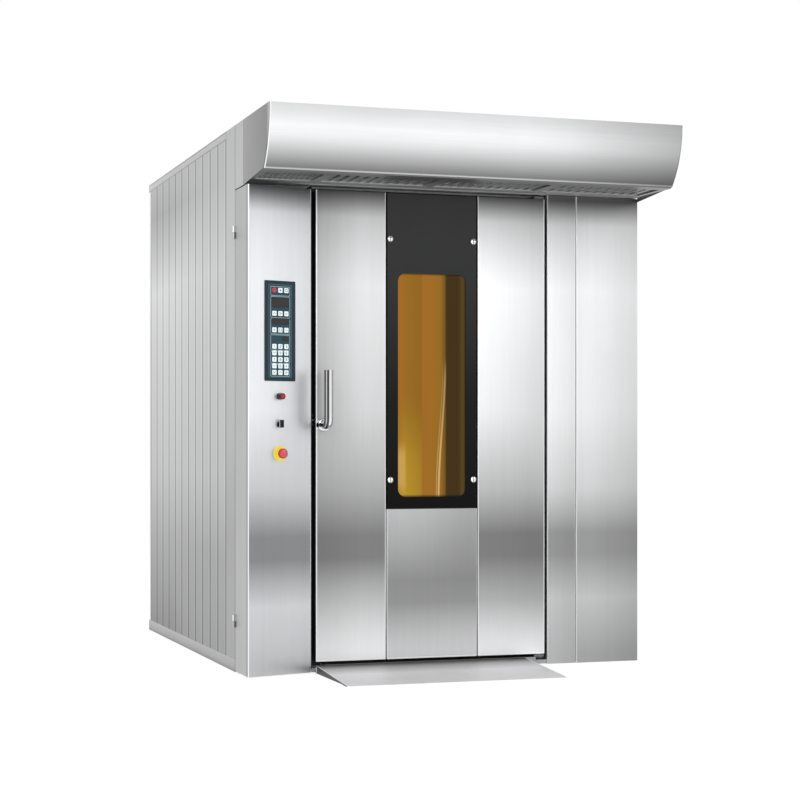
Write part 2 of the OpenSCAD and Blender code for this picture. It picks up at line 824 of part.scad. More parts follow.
module folded_panel(x0, x1, z0, z1, depth, t, r) {
  translate([0, 0, z0]) linear_extrude(z1 - z0) folded_outline(x0, x1, depth, t, r);
  for (z = [z0, z1 - t])
    slab([x0 + r, 0, z], [x1 - r, depth, z + t]);
}

module side_panels() {
  panel_z0 = 4;
  panel_z1 = frame_top + 4;
  joint = 1.5;
  color("lightgray") in_place() {
    folded_panel(strip_x0, strip_x1 - joint, panel_z0, panel_z1, front_panel_t, skin_t, fold_r);
    folded_panel(strip_x1 + joint, right_x, panel_z0, panel_z1, front_panel_t, skin_t, fold_r);
  }
}

module door_frame() {
  jamb_z0 = frame_z + seat;
  reveal_t = 3;
  reveal_x0 = column_x1 + 1;
  ear_t = 8;
  ear_z = bolt_r + ear_t + 5;
  keeper_x0 = reveal_x0 + reveal_t + seat;
  color("gray") in_place() {
    slab([reveal_x0, front_y0, jamb_z0], [open_x0, front_y1, opening_z - seat]);
    slab([open_x1, front_y0, jamb_z0], [jamb_x1, front_y1, opening_z - seat]);
    slab([reveal_x0, front_y0, opening_z], [jamb_x1, front_y1, frame_top]);
    slab([reveal_x0, 5, jamb_z0], [reveal_x0 + reveal_t, front_y0 - seat, frame_top]);
    // keeper of the latch bolt
    slab([keeper_x0, 30, bolt_z - 34], [keeper_x0 + 4, front_y0 - 12, bolt_z + 34]);
    for (s = [-1, 1])
      slab([keeper_x0 + 4 + seat, 30, bolt_z + s * ear_z - ear_t / 2],
           [door_x0 - 3, front_y0 - 12, bolt_z + s * ear_z + ear_t / 2]);
  }
}

module door_hinges() {
  half_w = 23;
  plate_t = 10;
  depth_in = 41;
  y0 = 8;
  top_z = door_z1 + 3;
  color("dimgray") in_place() {
    slab([hinge_x - half_w, y0, top_z], [hinge_x + half_w, front_y0 - seat, top_z + plate_t]);
    bar_z(hinge_x, hinge_y, door_z1 - depth_in, top_z + 1, hinge_pin_r);
    slab([hinge_x - half_w, y0, walk_z + seat],
         [hinge_x + half_w, front_y0 - seat, walk_z + plate_t]);
    bar_z(hinge_x, hinge_y, walk_z + 1, door_z0 - seat, hinge_pin_r + 6);
    bar_z(hinge_x, hinge_y, walk_z + 1, door_z0 + depth_in, hinge_pin_r);
  }
}

module control_cabinet() {
  t = 2;
  inner = t + seat;
  color("lightgray") in_place() {
    slab([cab_x0, cab_y1 - t, cab_z0], [cab_x1, cab_y1, cab_z1]);
    slab([cab_x0, cab_y0, cab_z0], [cab_x0 + t, cab_y1 - inner, cab_z1]);
    slab([cab_x1 - t, cab_y0, cab_z0], [cab_x1, cab_y1 - inner, cab_z1]);
    for (z = [cab_z0, cab_z1 - t])
      slab([cab_x0 + inner, cab_y0, z], [cab_x1 - inner, cab_y1 - inner, z + t]);
  }
}

module switchgear() {
  plate_y = cab_y1 - 2 - seat;
  x0 = cab_x0 + 14;
  x1 = cab_x1 - 14;
  // rows of contactors, relays, drives, relays and terminals: height, number, front, half height
  rows = [[1700, 4, 26, 43], [1380, 6, 30, 43], [1020, 2, 22, 90], [720, 4, 28, 43],
          [420, 14, 50, 25]];
  color("whitesmoke") in_place() {
    slab([x0, plate_y - 3, cab_z0 + 40], [x1, plate_y, cab_z1 - 40]);
    for (row = rows) {
      pitch = (x1 - x0 - 24) / row[1];
      slab([x0 + 8, plate_y - 10, row[0] - 17], [x1 - 8, plate_y - 2, row[0] + 17]);
      for (i = [0:row[1] - 1])
        slab([x0 + 12 + i * pitch, row[2], row[0] - row[3]],
             [x0 + 12 + (i + 0.86) * pitch, plate_y - 9, row[0] + row[3]]);
    }
  }
}

// Fixed half of the two cover hinges: leaf, lower knuckle and pin
module control_hinges() {
  leaf_l = 22;
  leaf_t = 2;
  color("silver") in_place() for (z = [cover_hinge_top, cover_hinge_low]) {
    bar_z(knuckle_x, seam_mid, z - knuckle_l / 2, z - seat, knuckle_r);
    bar_z(knuckle_x, seam_mid, z - 1, z + knuckle_l / 2, cover_pin_r);
    slab([left_x - seat - leaf_t, seam_mid, z - knuckle_l / 2],
         [left_x - seat, seam_mid + leaf_l, z - seat]);
  }
}

// ---------------------------------------------------------------- control column

column_fold_r = 8;

// Plan of the cover's sheet: side, rounded outer corner, angled face, rounded inner corner.
// inset = 0 gives the outer line, inset = skin_t the inner one.
module cover_plan(inset, back_y, inner_back_y) {
  r = column_fold_r;
  d1 = r / tan((90 - face_angle) / 2);
  d2 = r / tan((90 + face_angle) / 2);
  along = [cos(face_angle), sin(face_angle)];
  normal = [-sin(face_angle), cos(face_angle)];
  outer_corner = [left_x, -column_proud];
  inner_corner = [column_x1, 0];
  polygon([[left_x + inset, back_y], [left_x + inset, -column_proud + d1],
           [left_x + r, -column_proud + d1],
           outer_corner + d1 * along + inset * normal,
           inner_corner - d2 * along + inset * normal,
           [column_x1 - r, d2], [column_x1 - inset, d2], [column_x1 - inset, inner_back_y]]);
  translate([left_x + r, -column_proud + d1]) circle(r - inset);
  translate([column_x1 - r, d2]) circle(r - inset);
}

module control_cover() {
  leaf_l = 22;
  leaf_t = 2;
  return_y = 12;
  shelf_y = 60;
  color("silver") in_place() difference() {
    union() {
      translate([0, 0, cover_lift]) linear_extrude(cover_h) difference() {
        cover_plan(0, column_side_d, return_y);
        cover_plan(skin_t, column_side_d + 1, return_y + 1);
      }
      // closing plates at the foot and the head
      for (z = [cover_lift, cover_z1 - skin_t])
        translate([0, 0, z]) linear_extrude(skin_t) cover_plan(0, shelf_y, return_y);
      // moving halves of the hinges
      for (z = [cover_hinge_top, cover_hinge_low]) {
        bar_z(knuckle_x, seam_mid, z + seat, z + knuckle_l / 2, knuckle_r);
        slab([left_x - seat - leaf_t, column_side_d - leaf_l, z + seat],
             [left_x, column_side_d, z + knuckle_l / 2]);
        slab([left_x - seat - leaf_t, column_side_d - 1, z + seat],
             [left_x - seat, seam_mid, z + knuckle_l / 2]);
      }
    }
    for (z = [cover_hinge_top, cover_hinge_low])
      bar_z(knuckle_x, seam_mid, z - 1, z + knuckle_l / 2 + 1, cover_pin_r + play);
    for (z = [button_z, selector_z, stop_z])
      on_face(controls_u, z) bar_y(0, -5, skin_t + 5, 0, body_r + seat);
  }
}

membrane_t = 3;
body_r = 10.5;
stem_r = 5;
stop_stem_r = 7;
bezel_y = 4;
switch_d = 48;
key_rows = [175, 75, 4];
pad_rows = 5;
pad_top = -67;
pad_pitch = 28;

module membrane_panel() {
  color("darkslategray") in_place() on_face(controls_u, membrane_z)
    upright_plate(0, 0, membrane_w, membrane_h, 5, -membrane_t - seat, -seat);
}

module membrane_keys() {
  y1 = -membrane_t - 2 * seat;
  y0 = y1 - 1.5;
  color("whitesmoke") in_place() on_face(controls_u, membrane_z) {
    for (row = key_rows, col = [-1:1])
      if (row == key_rows[0] && col == -1)
        bar_y(col * key_pitch, y0, y1, row, key_w / 2);
      else
        upright_plate(col * key_pitch, row, key_w, key_w, 3, y0, y1);
    for (i = [0:pad_rows - 1], col = [-1:1])
      upright_plate(col * key_pitch, pad_top - i * pad_pitch, key_w, key_w, 3, y0, y1);
  }
}

// Threaded switch body in the cover's hole, with a ring outside and a bore for the stem
module switch_body(z, ring_r) {
  on_face(controls_u, z) difference() {
    union() {
      bar_y(0, -bezel_y - seat, -seat, 0, ring_r);
      bar_y(0, -seat - 1, switch_d, 0, body_r);
      bar_y(0, skin_t + seat, skin_t + 5, 0, body_r + 4);
    }
    bar_y(0, -bezel_y - 1, switch_d - 4, 0, stem_r + play);
  }
}

module switch_bezels() {
  color("silver") in_place() {
    difference() {
      switch_body(button_z, button_r + 4);
      on_face(controls_u, button_z) bar_y(0, -bezel_y - 1, -1.5, 0, button_r + 0.5);
    }
    switch_body(selector_z, selector_r + 2);
  }
}

module start_button() {
  color("firebrick") in_place() on_face(controls_u, button_z) {
    bar_y(0, -button_proud, -1.7 - button_travel, 0, button_r);
    bar_y(0, -6, switch_d - 6 - button_travel, 0, stem_r);
  }
}

module selector_knob() {
  face_y = -bezel_y - 2 * seat;
  color("dimgray") in_place() on_face(controls_u, selector_z) {
    bar_y(0, face_y - 5, face_y, 0, selector_r);
    slab([-4, face_y - 23, -selector_r + 1], [4, face_y - 4, selector_r + 6]);
    bar_y(0, face_y - 1, 40, 0, stem_r);
  }
}

module stop_ring() {
  color("gold") in_place() on_face(controls_u, stop_z) difference() {
    union() {
      bar_y(0, -3 - seat, -seat, 0, stop_ring_r);
      bar_y(0, -12, -3, 0, 15);
      bar_y(0, -seat - 1, 56, 0, body_r);
      bar_y(0, skin_t + seat, skin_t + 5, 0, body_r + 4);
    }
    bar_y(0, -13, 52, 0, stop_stem_r + play);
  }
}

module stop_button() {
  cap_y = -20;
  cap_h = 14;
  dome_r = 40;
  color("red") in_place() on_face(controls_u, stop_z) {
    bar_y(0, cap_y - cap_h + 4, cap_y, 0, stop_r);
    intersection() {
      translate([0, cap_y - cap_h - 2 + dome_r, 0]) sphere(dome_r);
      bar_y(0, cap_y - 30, cap_y - 2, 0, stop_r);
    }
    bar_y(0, cap_y - 1, 52 - stop_travel - 2, 0, stop_stem_r);
  }
}

module display_windows() {
  y1 = -membrane_t - 2 * seat;
  y0 = y1 - 1;
  color([0.17, 0.12, 0.11]) in_place() on_face(controls_u, membrane_z) {
    upright_plate(2, 123, 88, 44, 3, y0, y1);
    upright_plate(2, 41, 88, 27, 3, y0, y1);
    upright_plate(25, -34, 30, 18, 2, y0, y1);
  }
}

// ---------------------------------------------------------------- rack drive and air circuit

gear_box_w = 160;
gear_box_h = 120;
gear_z0 = deckhouse_z + seat;
gear_z1 = gear_z0 + gear_box_h;
fork_bar_h = 34;
fork_bar_z = fork_z + 36;

module drive_gearmotor() {
  motor_z = gear_z0 + motor_r + 2;
  motor_x0 = door_cx + gear_box_w / 2 - 1;
  color("steelblue") in_place() difference() {
    union() {
      slab([door_cx - gear_box_w / 2, turn_y - gear_box_w / 2, gear_z0],
           [door_cx + gear_box_w / 2, turn_y + gear_box_w / 2, gear_z1]);
      bar_z(door_cx, turn_y, gear_z1 - 1, gear_z1 + 8, 2 * drive_r);
      bar_x(motor_x0, motor_x0 + motor_l, turn_y, motor_z, motor_r);
      for (i = [1:7])
        bar_x(motor_x0 + 20 + i * 18, motor_x0 + 25 + i * 18, turn_y, motor_z, motor_r + 2);
      slab([motor_x0 + 60, turn_y - 36, motor_z + motor_r - 6],
           [motor_x0 + 150, turn_y + 36, motor_z + motor_r + 10]);
    }
    bar_z(door_cx, turn_y, gear_z0 - 1, gear_z1 + 9, drive_r + play);
  }
}

module rack_fork() {
  prong_w = 22;
  prong_d = 60;
  color("gainsboro") in_place() {
    bar_z(door_cx, turn_y, fork_bar_z, gear_z1 + 18, drive_r);
    bar_z(door_cx, turn_y, fork_bar_z + fork_bar_h, fork_bar_z + fork_bar_h + 12, 2 * drive_r);
    slab([door_cx - fork_w / 2, turn_y - 20, fork_bar_z],
         [door_cx + fork_w / 2, turn_y + 20, fork_bar_z + fork_bar_h]);
    for (s = [-1, 1])
      slab([door_cx + s * fork_w / 2 - prong_w / 2, turn_y - prong_d / 2, fork_z],
           [door_cx + s * fork_w / 2 + prong_w / 2, turn_y + prong_d / 2, fork_bar_z + fork_bar_h]);
  }
}

inlet_r = 0.68 * fan_r;
wheel_z0 = deck_z + 26;
wheel_z1 = wheel_z0 + 4 + fan_h;

module heater_rod_places() {
  for (i = [0:rods_x - 1], j = [0:rods_y - 1])
    translate([heater_x + (i - (rods_x - 1) / 2) * rod_pitch,
               fan_y + (j - (rods_y - 1) / 2) * rod_pitch, 0])
      children();
}

module fan_deck() {
  color("lightsteelblue") in_place() {
    difference() {
      slab([inner_left_x + seat, plenum_y0 + seat, deck_z - deck_t],
           [chamber_right_x + sheet_t, plenum_y1 - seat, deck_z]);
      bar_z(fan_x, fan_y, deck_z - deck_t - 1, deck_z + 1, inlet_r);
      bar_z(water_x, water_drop_y, deck_z - deck_t - 1, deck_z + 1, water_r + 2);
      heater_rod_places() for (s = [-1, 1])
        bar_z(s * hairpin_r, 0, deck_z - deck_t - 1, deck_z + 1, rod_r + 3);
    }
    tube_z(fan_x, fan_y, deck_z - 1, deck_z + 20, inlet_r + 3, inlet_r);
  }
}

fan_motor_r = 90;
fan_motor_z1 = gear_z0 + fan_motor_h;

module fan_motor() {
  foot_t = 14;
  color("steelblue") in_place() difference() {
    union() {
      bar_z(fan_x, fan_y, gear_z0, gear_z0 + foot_t, fan_motor_r + 50);
      bar_z(fan_x, fan_y, gear_z0 + foot_t + seat, fan_motor_z1, fan_motor_r);
      for (i = [1:10])
        bar_z(fan_x, fan_y, gear_z0 + 30 + i * 18, gear_z0 + 36 + i * 18, fan_motor_r + 5);
      slab([fan_x + fan_motor_r - 6, fan_y - 50, gear_z0 + 70],
           [fan_x + fan_motor_r + 44, fan_y + 50, gear_z0 + 170]);
    }
    bar_z(fan_x, fan_y, gear_z0 - 1, gear_z0 + 90, fan_shaft_r + play);
  }
}

module fan_wheel() {
  blade_t = 4;
  blade_in = 0.6 * fan_r;
  color("gainsboro") in_place() {
    bar_z(fan_x, fan_y, wheel_z0 + 24, gear_z0 + 80, fan_shaft_r);
    bar_z(fan_x, fan_y, wheel_z0 + 20, wheel_z1 + 14, 2.4 * fan_shaft_r);
    bar_z(fan_x, fan_y, wheel_z1, wheel_z1 + 4, fan_r);
    tube_z(fan_x, fan_y, wheel_z0, wheel_z0 + 4, fan_r, inlet_r);
    for (i = [0:fan_blades - 1])
      translate([fan_x, fan_y, wheel_z0 + 3]) rotate([0, 0, i * 360 / fan_blades])
        translate([blade_in, -0.2 * fan_r, 0]) rotate([0, 0, 25])
          cube([0.32 * fan_r, blade_t, fan_h + 2]);
  }
}

module heater_bank() {
  rim = 22;
  plate_t = 8;
  bend_z = ceiling_z - rod_l + hairpin_r;
  color("dimgray") in_place() {
    slab([heater_x - heater_w / 2 - rim, fan_y - heater_d / 2 - rim, gear_z0],
         [heater_x + heater_w / 2 + rim, fan_y + heater_d / 2 + rim, gear_z0 + plate_t]);
    slab([heater_x - heater_w / 2, fan_y - heater_d / 2, ceiling_z],
         [heater_x + heater_w / 2, fan_y + heater_d / 2, gear_z0 + 1]);
    // terminal cover
    slab([heater_x - heater_w / 2, fan_y - heater_d / 2, gear_z0 + plate_t - 1],
         [heater_x + heater_w / 2, fan_y + heater_d / 2, gear_z0 + 90]);
    heater_rod_places() {
      for (s = [-1, 1]) bar_z(s * hairpin_r, 0, bend_z, ceiling_z + 1, rod_r);
      translate([0, 0, bend_z]) rotate([-90, 0, 0]) rotate_extrude(angle = 180)
        translate([hairpin_r, 0]) circle(rod_r);
    }
  }
}

steam_x0 = inner_left_x + 30;
steam_x1 = steam_x0 + 400;
steam_y0 = plenum_y0 + 30;
steam_y1 = plenum_y1 - 30;
steam_z1 = floor_z + steam_h;

module steam_generator() {
  post_r = 12;
  bars = 5;
  bar_r = 13;
  tray_h = 24;
  tray_t = 3;
  tray_pitch = (steam_z1 - floor_z - 120) / tray_count;
  bar_pitch = (steam_x1 - steam_x0 - 60) / bars;
  color("slategray") in_place() {
    for (x = [steam_x0 + post_r, steam_x1 - post_r], y = [steam_y0 + post_r, steam_y1 - post_r])
      bar_z(x, y, floor_z + seat, steam_z1, post_r);
    for (i = [0:tray_count - 1]) {
      z = floor_z + 100 + i * tray_pitch;
      slab([steam_x0 + 6, steam_y0 + 6, z], [steam_x1 - 6, steam_y1 - 6, z + tray_t]);
      for (y = [steam_y0 + 6, steam_y1 - 6 - tray_t])
        slab([steam_x0 + 6, y, z], [steam_x1 - 6, y + tray_t, z + tray_h]);
      for (j = [0:bars - 1])
        bar_y(steam_x0 + 30 + (j + 0.5) * bar_pitch, steam_y0 + 8, steam_y1 - 8,
              z + tray_t + bar_r - 1, bar_r);
    }
  }
}

module water_pipes() {
  bend = 40;
  wall = 2;
  spray_z = steam_z1 + 110;
  color("silver") in_place() {
    difference() {
      union() {
        bar_y(water_x, water_drop_y + bend, oven_d + service_proud, water_z, water_r);
        bar_y(water_x, oven_d + seat, oven_d + collar_t, water_z, water_r + 5);
        translate([water_x, water_drop_y + bend, water_z - bend]) rotate([0, -90, 180])
          rotate_extrude(angle = 90) translate([bend, 0]) circle(water_r);
        bar_z(water_x, water_drop_y, spray_z, water_z - bend, water_r);
        bar_x(water_x - 150, water_x + 150, water_drop_y, spray_z, water_r);
        // solenoid valve in the inlet line
        slab([water_x - 24, oven_d - 130, water_z - 24], [water_x + 24, oven_d - 60, water_z + 24]);
        bar_z(water_x, oven_d - 95, water_z + 23, water_z + 68, 20);
      }
      bar_y(water_x, oven_d - service_proud, oven_d + service_proud + 1, water_z, water_r - wall);
    }
    difference() {
      union() {
        bar_y(drain_x, plenum_y1 - 30, oven_d + service_proud, drain_z, drain_r);
        bar_y(drain_x, oven_d + seat, oven_d + collar_t, drain_z, drain_r + 5);
      }
      bar_y(drain_x, plenum_y1 - 31, oven_d + service_proud + 1, drain_z, drain_r - wall);
    }
  }
}

module chamber_lamps() {
  inset = 600;
  z0 = floor_z + (chamber_h - lamp_l) / 2;
  y = front_y1 + 12 + lamp_r;
  color("lemonchiffon") in_place() for (x = [door_cx - inset, door_cx + inset]) {
    slab([x - 25, front_y1 + seat, z0 - 50], [x + 25, front_y1 + 8, z0 + lamp_l + 50]);
    bar_z(x, y, z0 - 1, z0 + lamp_l + 1, lamp_r);
    for (z = [z0 - 40, z0 + lamp_l])
      slab([x - 22, front_y1 + 7, z], [x + 22, y + lamp_r + 3, z + 40]);
  }
}

module flue_pipe() {
  wall = 2;
  box_x0 = flue_x + flue_r + 12;
  color("gainsboro") in_place() {
    difference() {
      tube_z(flue_x, flue_y, ceiling_z, flue_z, flue_r, flue_r - wall);
      bar_x(flue_x - flue_r - 1, flue_x + flue_r + 1, flue_y, damper_z, damper_spindle_r + play);
    }
    tube_z(flue_x, flue_y, gear_z0, gear_z0 + 3, flue_r + 30, flue_r - 1);
    tube_z(flue_x, flue_y, flue_z - spigot_l - collar_t, flue_z - spigot_l, flue_r + 5,
           flue_r - 1);
    // actuator of the damper on its stand
    difference() {
      union() {
        slab([box_x0, flue_y - 45, damper_z - 34], [box_x0 + 110, flue_y + 45, damper_z + 34]);
        slab([box_x0 + 20, flue_y - 30, gear_z0], [box_x0 + 90, flue_y + 30, damper_z - 33]);
      }
      bar_x(box_x0 - 1, box_x0 + 50, flue_y, damper_z, damper_spindle_r + play);
    }
  }
}

module flue_damper() {
  disc_r = flue_r - 2.6;
  disc_t = 3;
  color("gray") in_place() {
    bar_z(flue_x, flue_y, damper_z - disc_t / 2, damper_z + disc_t / 2, disc_r);
    bar_x(flue_x - flue_r - 8, flue_x + flue_r + 54, flue_y, damper_z, damper_spindle_r);
  }
}

// ---------------------------------------------------------------- hood

duct_x0 = exhaust_x - 200;
duct_x1 = exhaust_x + 200;
duct_y1 = 650;
duct_z1 = oven_h - 12;

module hood_shell() {
  x0 = left_x + hood_sheet + seat;
  w = oven_w - 2 * (hood_sheet + seat);
  lip = 16;
  color("silver") in_place() {
    // curved valance with the top and a lip along the lower edge
    translate([x0, yc_valance, oven_h]) rotate([90, 0, 90]) linear_extrude(w) {
      intersection() {
        difference() {
          circle(valance_r);
          circle(valance_r - hood_sheet);
        }
        translate([-valance_r - 1, -valance_h]) square([valance_r / 2, valance_h]);
      }
      translate([1 - valance_r, -hood_sheet])
        square([valance_r - 1 - yc_valance - seat, hood_sheet]);
      translate([valance_low_y - yc_valance, -valance_h]) square([lip, hood_sheet]);
    }
    // rear wall with the opening towards the exhaust fan
    difference() {
      slab([x0, -hood_sheet - seat, valance_z], [-x0, -seat, oven_h - hood_sheet - seat]);
      slab([duct_x0, -hood_sheet - 1, gear_z0 + 5], [duct_x1, 0, duct_z1 - 5]);
    }
  }
}

module hood_cheeks() {
  low_x = valance_low_y - yc_valance;
  back_x = -yc_valance - seat;
  back_low = cover_z1 + 6 - oven_h;
  front_x = -valance_r - 5;
  slope = (-valance_h - back_low) / (low_x - back_x);
  color("silver") in_place() for (x = [left_x, right_x - hood_sheet])
    translate([x, yc_valance, oven_h]) rotate([90, 0, 90]) linear_extrude(hood_sheet)
      intersection() {
        circle(valance_r);
        polygon([[front_x, 0], [back_x, 0], [back_x, back_low],
                 [front_x, -valance_h + slope * (front_x - low_x)]]);
      }
}

filter_y0 = valance_low_y + 48;
filter_y1 = -52;

// Left and right edge of a filter bay: the first lies over the control column
function bay_x0(i) = i == 0 ? left_x + 12
                            : column_x1 + (i - 1) * (right_x - 12 - column_x1) / (filter_count - 1);
function bay_x1(i) = i == 0 ? column_x1
                            : column_x1 + i * (right_x - 12 - column_x1) / (filter_count - 1);

module hood_soffit() {
  ledge = 20;
  color("darkgray") in_place() difference() {
    slab([left_x + hood_sheet + seat, valance_low_y + 2, valance_z - soffit_t],
         [right_x - hood_sheet - seat, -seat, valance_z - seat]);
    for (i = [0:filter_count - 1])
      slab([bay_x0(i) + ledge, filter_y0 + ledge, valance_z - soffit_t - 1],
           [bay_x1(i) - ledge, filter_y1 - ledge, valance_z + 1]);
  }
}

module hood_filters() {
  rim = 14;
  h = 24;
  t = 2;
  z0 = valance_z;
  color("gainsboro") in_place() for (i = [0:filter_count - 1]) {
    x0 = bay_x0(i) + 4;
    x1 = bay_x1(i) - 4;
    pitch = (x1 - x0 - 2 * rim) / baffle_count;
    for (x = [x0, x1 - rim]) slab([x, filter_y0, z0], [x + rim, filter_y1, z0 + h]);
    for (y = [filter_y0, filter_y1 - rim]) slab([x0, y, z0], [x1, y + rim, z0 + h]);
    for (j = [0:baffle_count - 1]) {
      slab([x0 + rim + (j + 0.1) * pitch, filter_y0 + rim - 1, z0],
           [x0 + rim + (j + 0.65) * pitch, filter_y1 - rim + 1, z0 + t]);
      slab([x0 + rim + (j + 0.6) * pitch, filter_y0 + rim - 1, z0 + 14],
           [x0 + rim + (j + 1.15) * pitch, filter_y1 - rim + 1, z0 + 14 + t]);
    }
  }
}

hood_motor_r = 38;
hood_wheel_z = oven_h + 20;
hood_shaft_r = 6;

module hood_fan_box() {
  t = 3;
  arm_t = 5;
  color("silver") in_place() {
    slab([duct_x0, 3, gear_z0], [duct_x1, duct_y1, gear_z0 + t]);
    for (x = [duct_x0, duct_x1 - t])
      slab([x, 3, gear_z0 + t + seat], [x + t, duct_y1, duct_z1 - t - seat]);
    slab([duct_x0 + t + seat, duct_y1 - t, gear_z0 + t + seat],
         [duct_x1 - t - seat, duct_y1, duct_z1 - t - seat]);
    difference() {
      slab([duct_x0, 3, duct_z1 - t], [duct_x1, duct_y1, duct_z1]);
      bar_z(exhaust_x, exhaust_y, duct_z1 - t - 1, duct_z1 + 1, exhaust_r - t);
    }
    tube_z(exhaust_x, exhaust_y, duct_z1 + seat, exhaust_z, exhaust_r, exhaust_r - t);
    // fan motor with its bore for the wheel's shaft
    difference() {
      bar_z(exhaust_x, exhaust_y, gear_z0 + t + seat, hood_wheel_z - arm_t, hood_motor_r);
      bar_z(exhaust_x, exhaust_y, hood_wheel_z - 50, hood_wheel_z, hood_shaft_r + play);
    }
  }
}

module hood_fan_wheel() {
  blades = 6;
  hub_h = 34;
  tip_gap = 3;
  color("darkslategray") in_place() translate([exhaust_x, exhaust_y, hood_wheel_z]) {
    bar_z(0, 0, 0, hub_h, hood_motor_r);
    bar_z(0, 0, -42, 1, hood_shaft_r);
    for (i = [0:blades - 1])
      rotate([0, 0, i * 360 / blades]) translate([hood_motor_r - 5, 0, hub_h / 2])
        rotate([32, 0, 0]) translate([0, -24, -1.5])
          cube([exhaust_r - 6 - tip_gap - hood_motor_r, 48, 3]);
  }
}

// ---------------------------------------------------------------- door

leaf_z0 = door_z0 + skin_t + seat;
leaf_z1 = door_z1 - skin_t - seat;
leaf_x0 = door_x0 + skin_t + seat;
leaf_x1 = door_x1 - skin_t - seat;
leaf_y0 = fold_r;
rail_w = 40;
frame_hole_w = window_w + 2 * window_lap + 2 * seat;
frame_hole_h = window_h + 2 * window_lap + 2 * seat;
crank = bolt_travel / 2;
crank_pin_r = 3;
cam_y = 40;
cam_t = 6;
pocket_y0 = 34;
pocket_y1 = 66;

module door_leaf() {
  pocket_left = 23;
  pocket_right = 21;
  depth_in = 42;
  mid_w = frame_hole_w + 2 * rail_w;
  color("gray") in_place() difference() {
    union() {
      slab([leaf_x0, leaf_y0, leaf_z0], [leaf_x0 + stile_w, stile_y1, leaf_z1]);
      slab([leaf_x1 - stile_w, leaf_y0, leaf_z0], [leaf_x1, stile_y1, leaf_z1]);
      for (z = [leaf_z0, leaf_z1 - rail_w])
        slab([leaf_x0 + stile_w - 1, stile_y0, z], [leaf_x1 - stile_w + 1, stile_y1, z + rail_w]);
      for (s = [-1, 1])
        slab([window_x + s * (frame_hole_w + rail_w) / 2 - rail_w / 2, stile_y0, leaf_z0],
             [window_x + s * (frame_hole_w + rail_w) / 2 + rail_w / 2, stile_y1, leaf_z1]);
      for (s = [-1, 1])
        slab([window_x - mid_w / 2, stile_y0,
              window_z + s * (frame_hole_h + rail_w) / 2 - rail_w / 2],
             [window_x + mid_w / 2, stile_y1,
              window_z + s * (frame_hole_h + rail_w) / 2 + rail_w / 2]);
    }
    // latch case with the bores for the spindle and the bolt
    slab([handle_x - pocket_left, pocket_y0, handle_z - 25],
         [handle_x + pocket_right, pocket_y1, handle_z + 45]);
    bar_y(handle_x, 0, pocket_y0 + 1, handle_z, spindle_r + play);
    bar_x(leaf_x0 - 1, handle_x, bolt_y, bolt_z, bolt_r + play);
    // bores for the hinge pins
    bar_z(hinge_x, hinge_y, leaf_z0 - 1, door_z0 + depth_in, hinge_pin_r + play);
    bar_z(hinge_x, hinge_y, door_z1 - depth_in, leaf_z1 + 1, hinge_pin_r + play);
  }
}

module door_insulation() {
  y0 = stile_y0 + seat;
  y1 = stile_y1 - seat;
  z0 = leaf_z0 + rail_w + seat;
  z1 = leaf_z1 - rail_w - seat;
  mid_in = frame_hole_w / 2;
  mid_out = mid_in + rail_w;
  win_out = frame_hole_h / 2 + rail_w;
  color("khaki") in_place() {
    slab([leaf_x0 + stile_w + seat, y0, z0], [window_x - mid_out - seat, y1, z1]);
    slab([window_x + mid_out + seat, y0, z0], [leaf_x1 - stile_w - seat, y1, z1]);
    slab([window_x - mid_in + seat, y0, z0], [window_x + mid_in - seat, y1,
                                              window_z - win_out - seat]);
    slab([window_x - mid_in + seat, y0, window_z + win_out + seat],
         [window_x + mid_in - seat, y1, z1]);
  }
}

module door_skins() {
  color("lightgray") in_place() {
    difference() {
      folded_panel(door_x0, mid_x0, door_z0, door_z1, skin_d, skin_t, fold_r);
      bar_y(handle_x, -1, skin_t + 1, handle_z, spindle_r + seat);
    }
    folded_panel(glass_x0, glass_x1, door_z0, glass_z0 - skin_seam, stile_y0 - seat,
                 skin_t, fold_r);
    folded_panel(mid_x1, door_x1, door_z0, door_z1, skin_d, skin_t, fold_r);
  }
}

module door_glass() {
  color([0.13, 0.13, 0.13]) in_place() difference() {
    slab([glass_x0, glass_y0, glass_z0], [glass_x1, glass_y0 + glass_t, door_z1 - 2]);
    upright_plate(window_x, window_z, window_w, window_h, window_r,
                  glass_y0 - 1, glass_y0 + glass_t + 1);
    for (x = [glass_x0 + cap_inset, glass_x1 - cap_inset], z = [cap_z_low, cap_z_top])
      bar_y(x, glass_y0 - 1, glass_y0 + glass_t + 1, z, stud_r + seat);
  }
}

module window_panes() {
  w = window_w + 2 * window_lap;
  h = window_h + 2 * window_lap;
  pane_y0 = glass_y0 + glass_t + seat;
  color([0.93, 0.66, 0.2]) in_place() {
    upright_plate(window_x, window_z, w, h, window_r, pane_y0, pane_y0 + pane_t);
    slab([window_x - w / 2, stile_y1 - glass_t, window_z - h / 2],
         [window_x + w / 2, stile_y1, window_z + h / 2]);
  }
}

module glass_caps() {
  rim_t = 4;
  dome_r = cap_r + 3;
  y1 = glass_y0 - seat;
  color("gainsboro") in_place()
    for (x = [glass_x0 + cap_inset, glass_x1 - cap_inset], z = [cap_z_low, cap_z_top]) {
      bar_y(x, y1 - rim_t, y1, z, cap_r);
      intersection() {
        translate([x, y1 - rim_t - 5 + dome_r, z]) sphere(dome_r);
        bar_y(x, y1 - rim_t - 20, y1 - 1, z, cap_r - 1.5);
      }
      bar_y(x, y1 - 1, stile_y0 - seat, z, stud_r);
    }
}

module door_inner_panel() {
  color("lightgray") in_place() difference() {
    slab([leaf_x0, door_t - sheet_t, leaf_z0], [leaf_x1, door_t, leaf_z1]);
    upright_plate(window_x, window_z, window_w, window_h, window_r, door_t - 10, door_t + 1);
  }
}

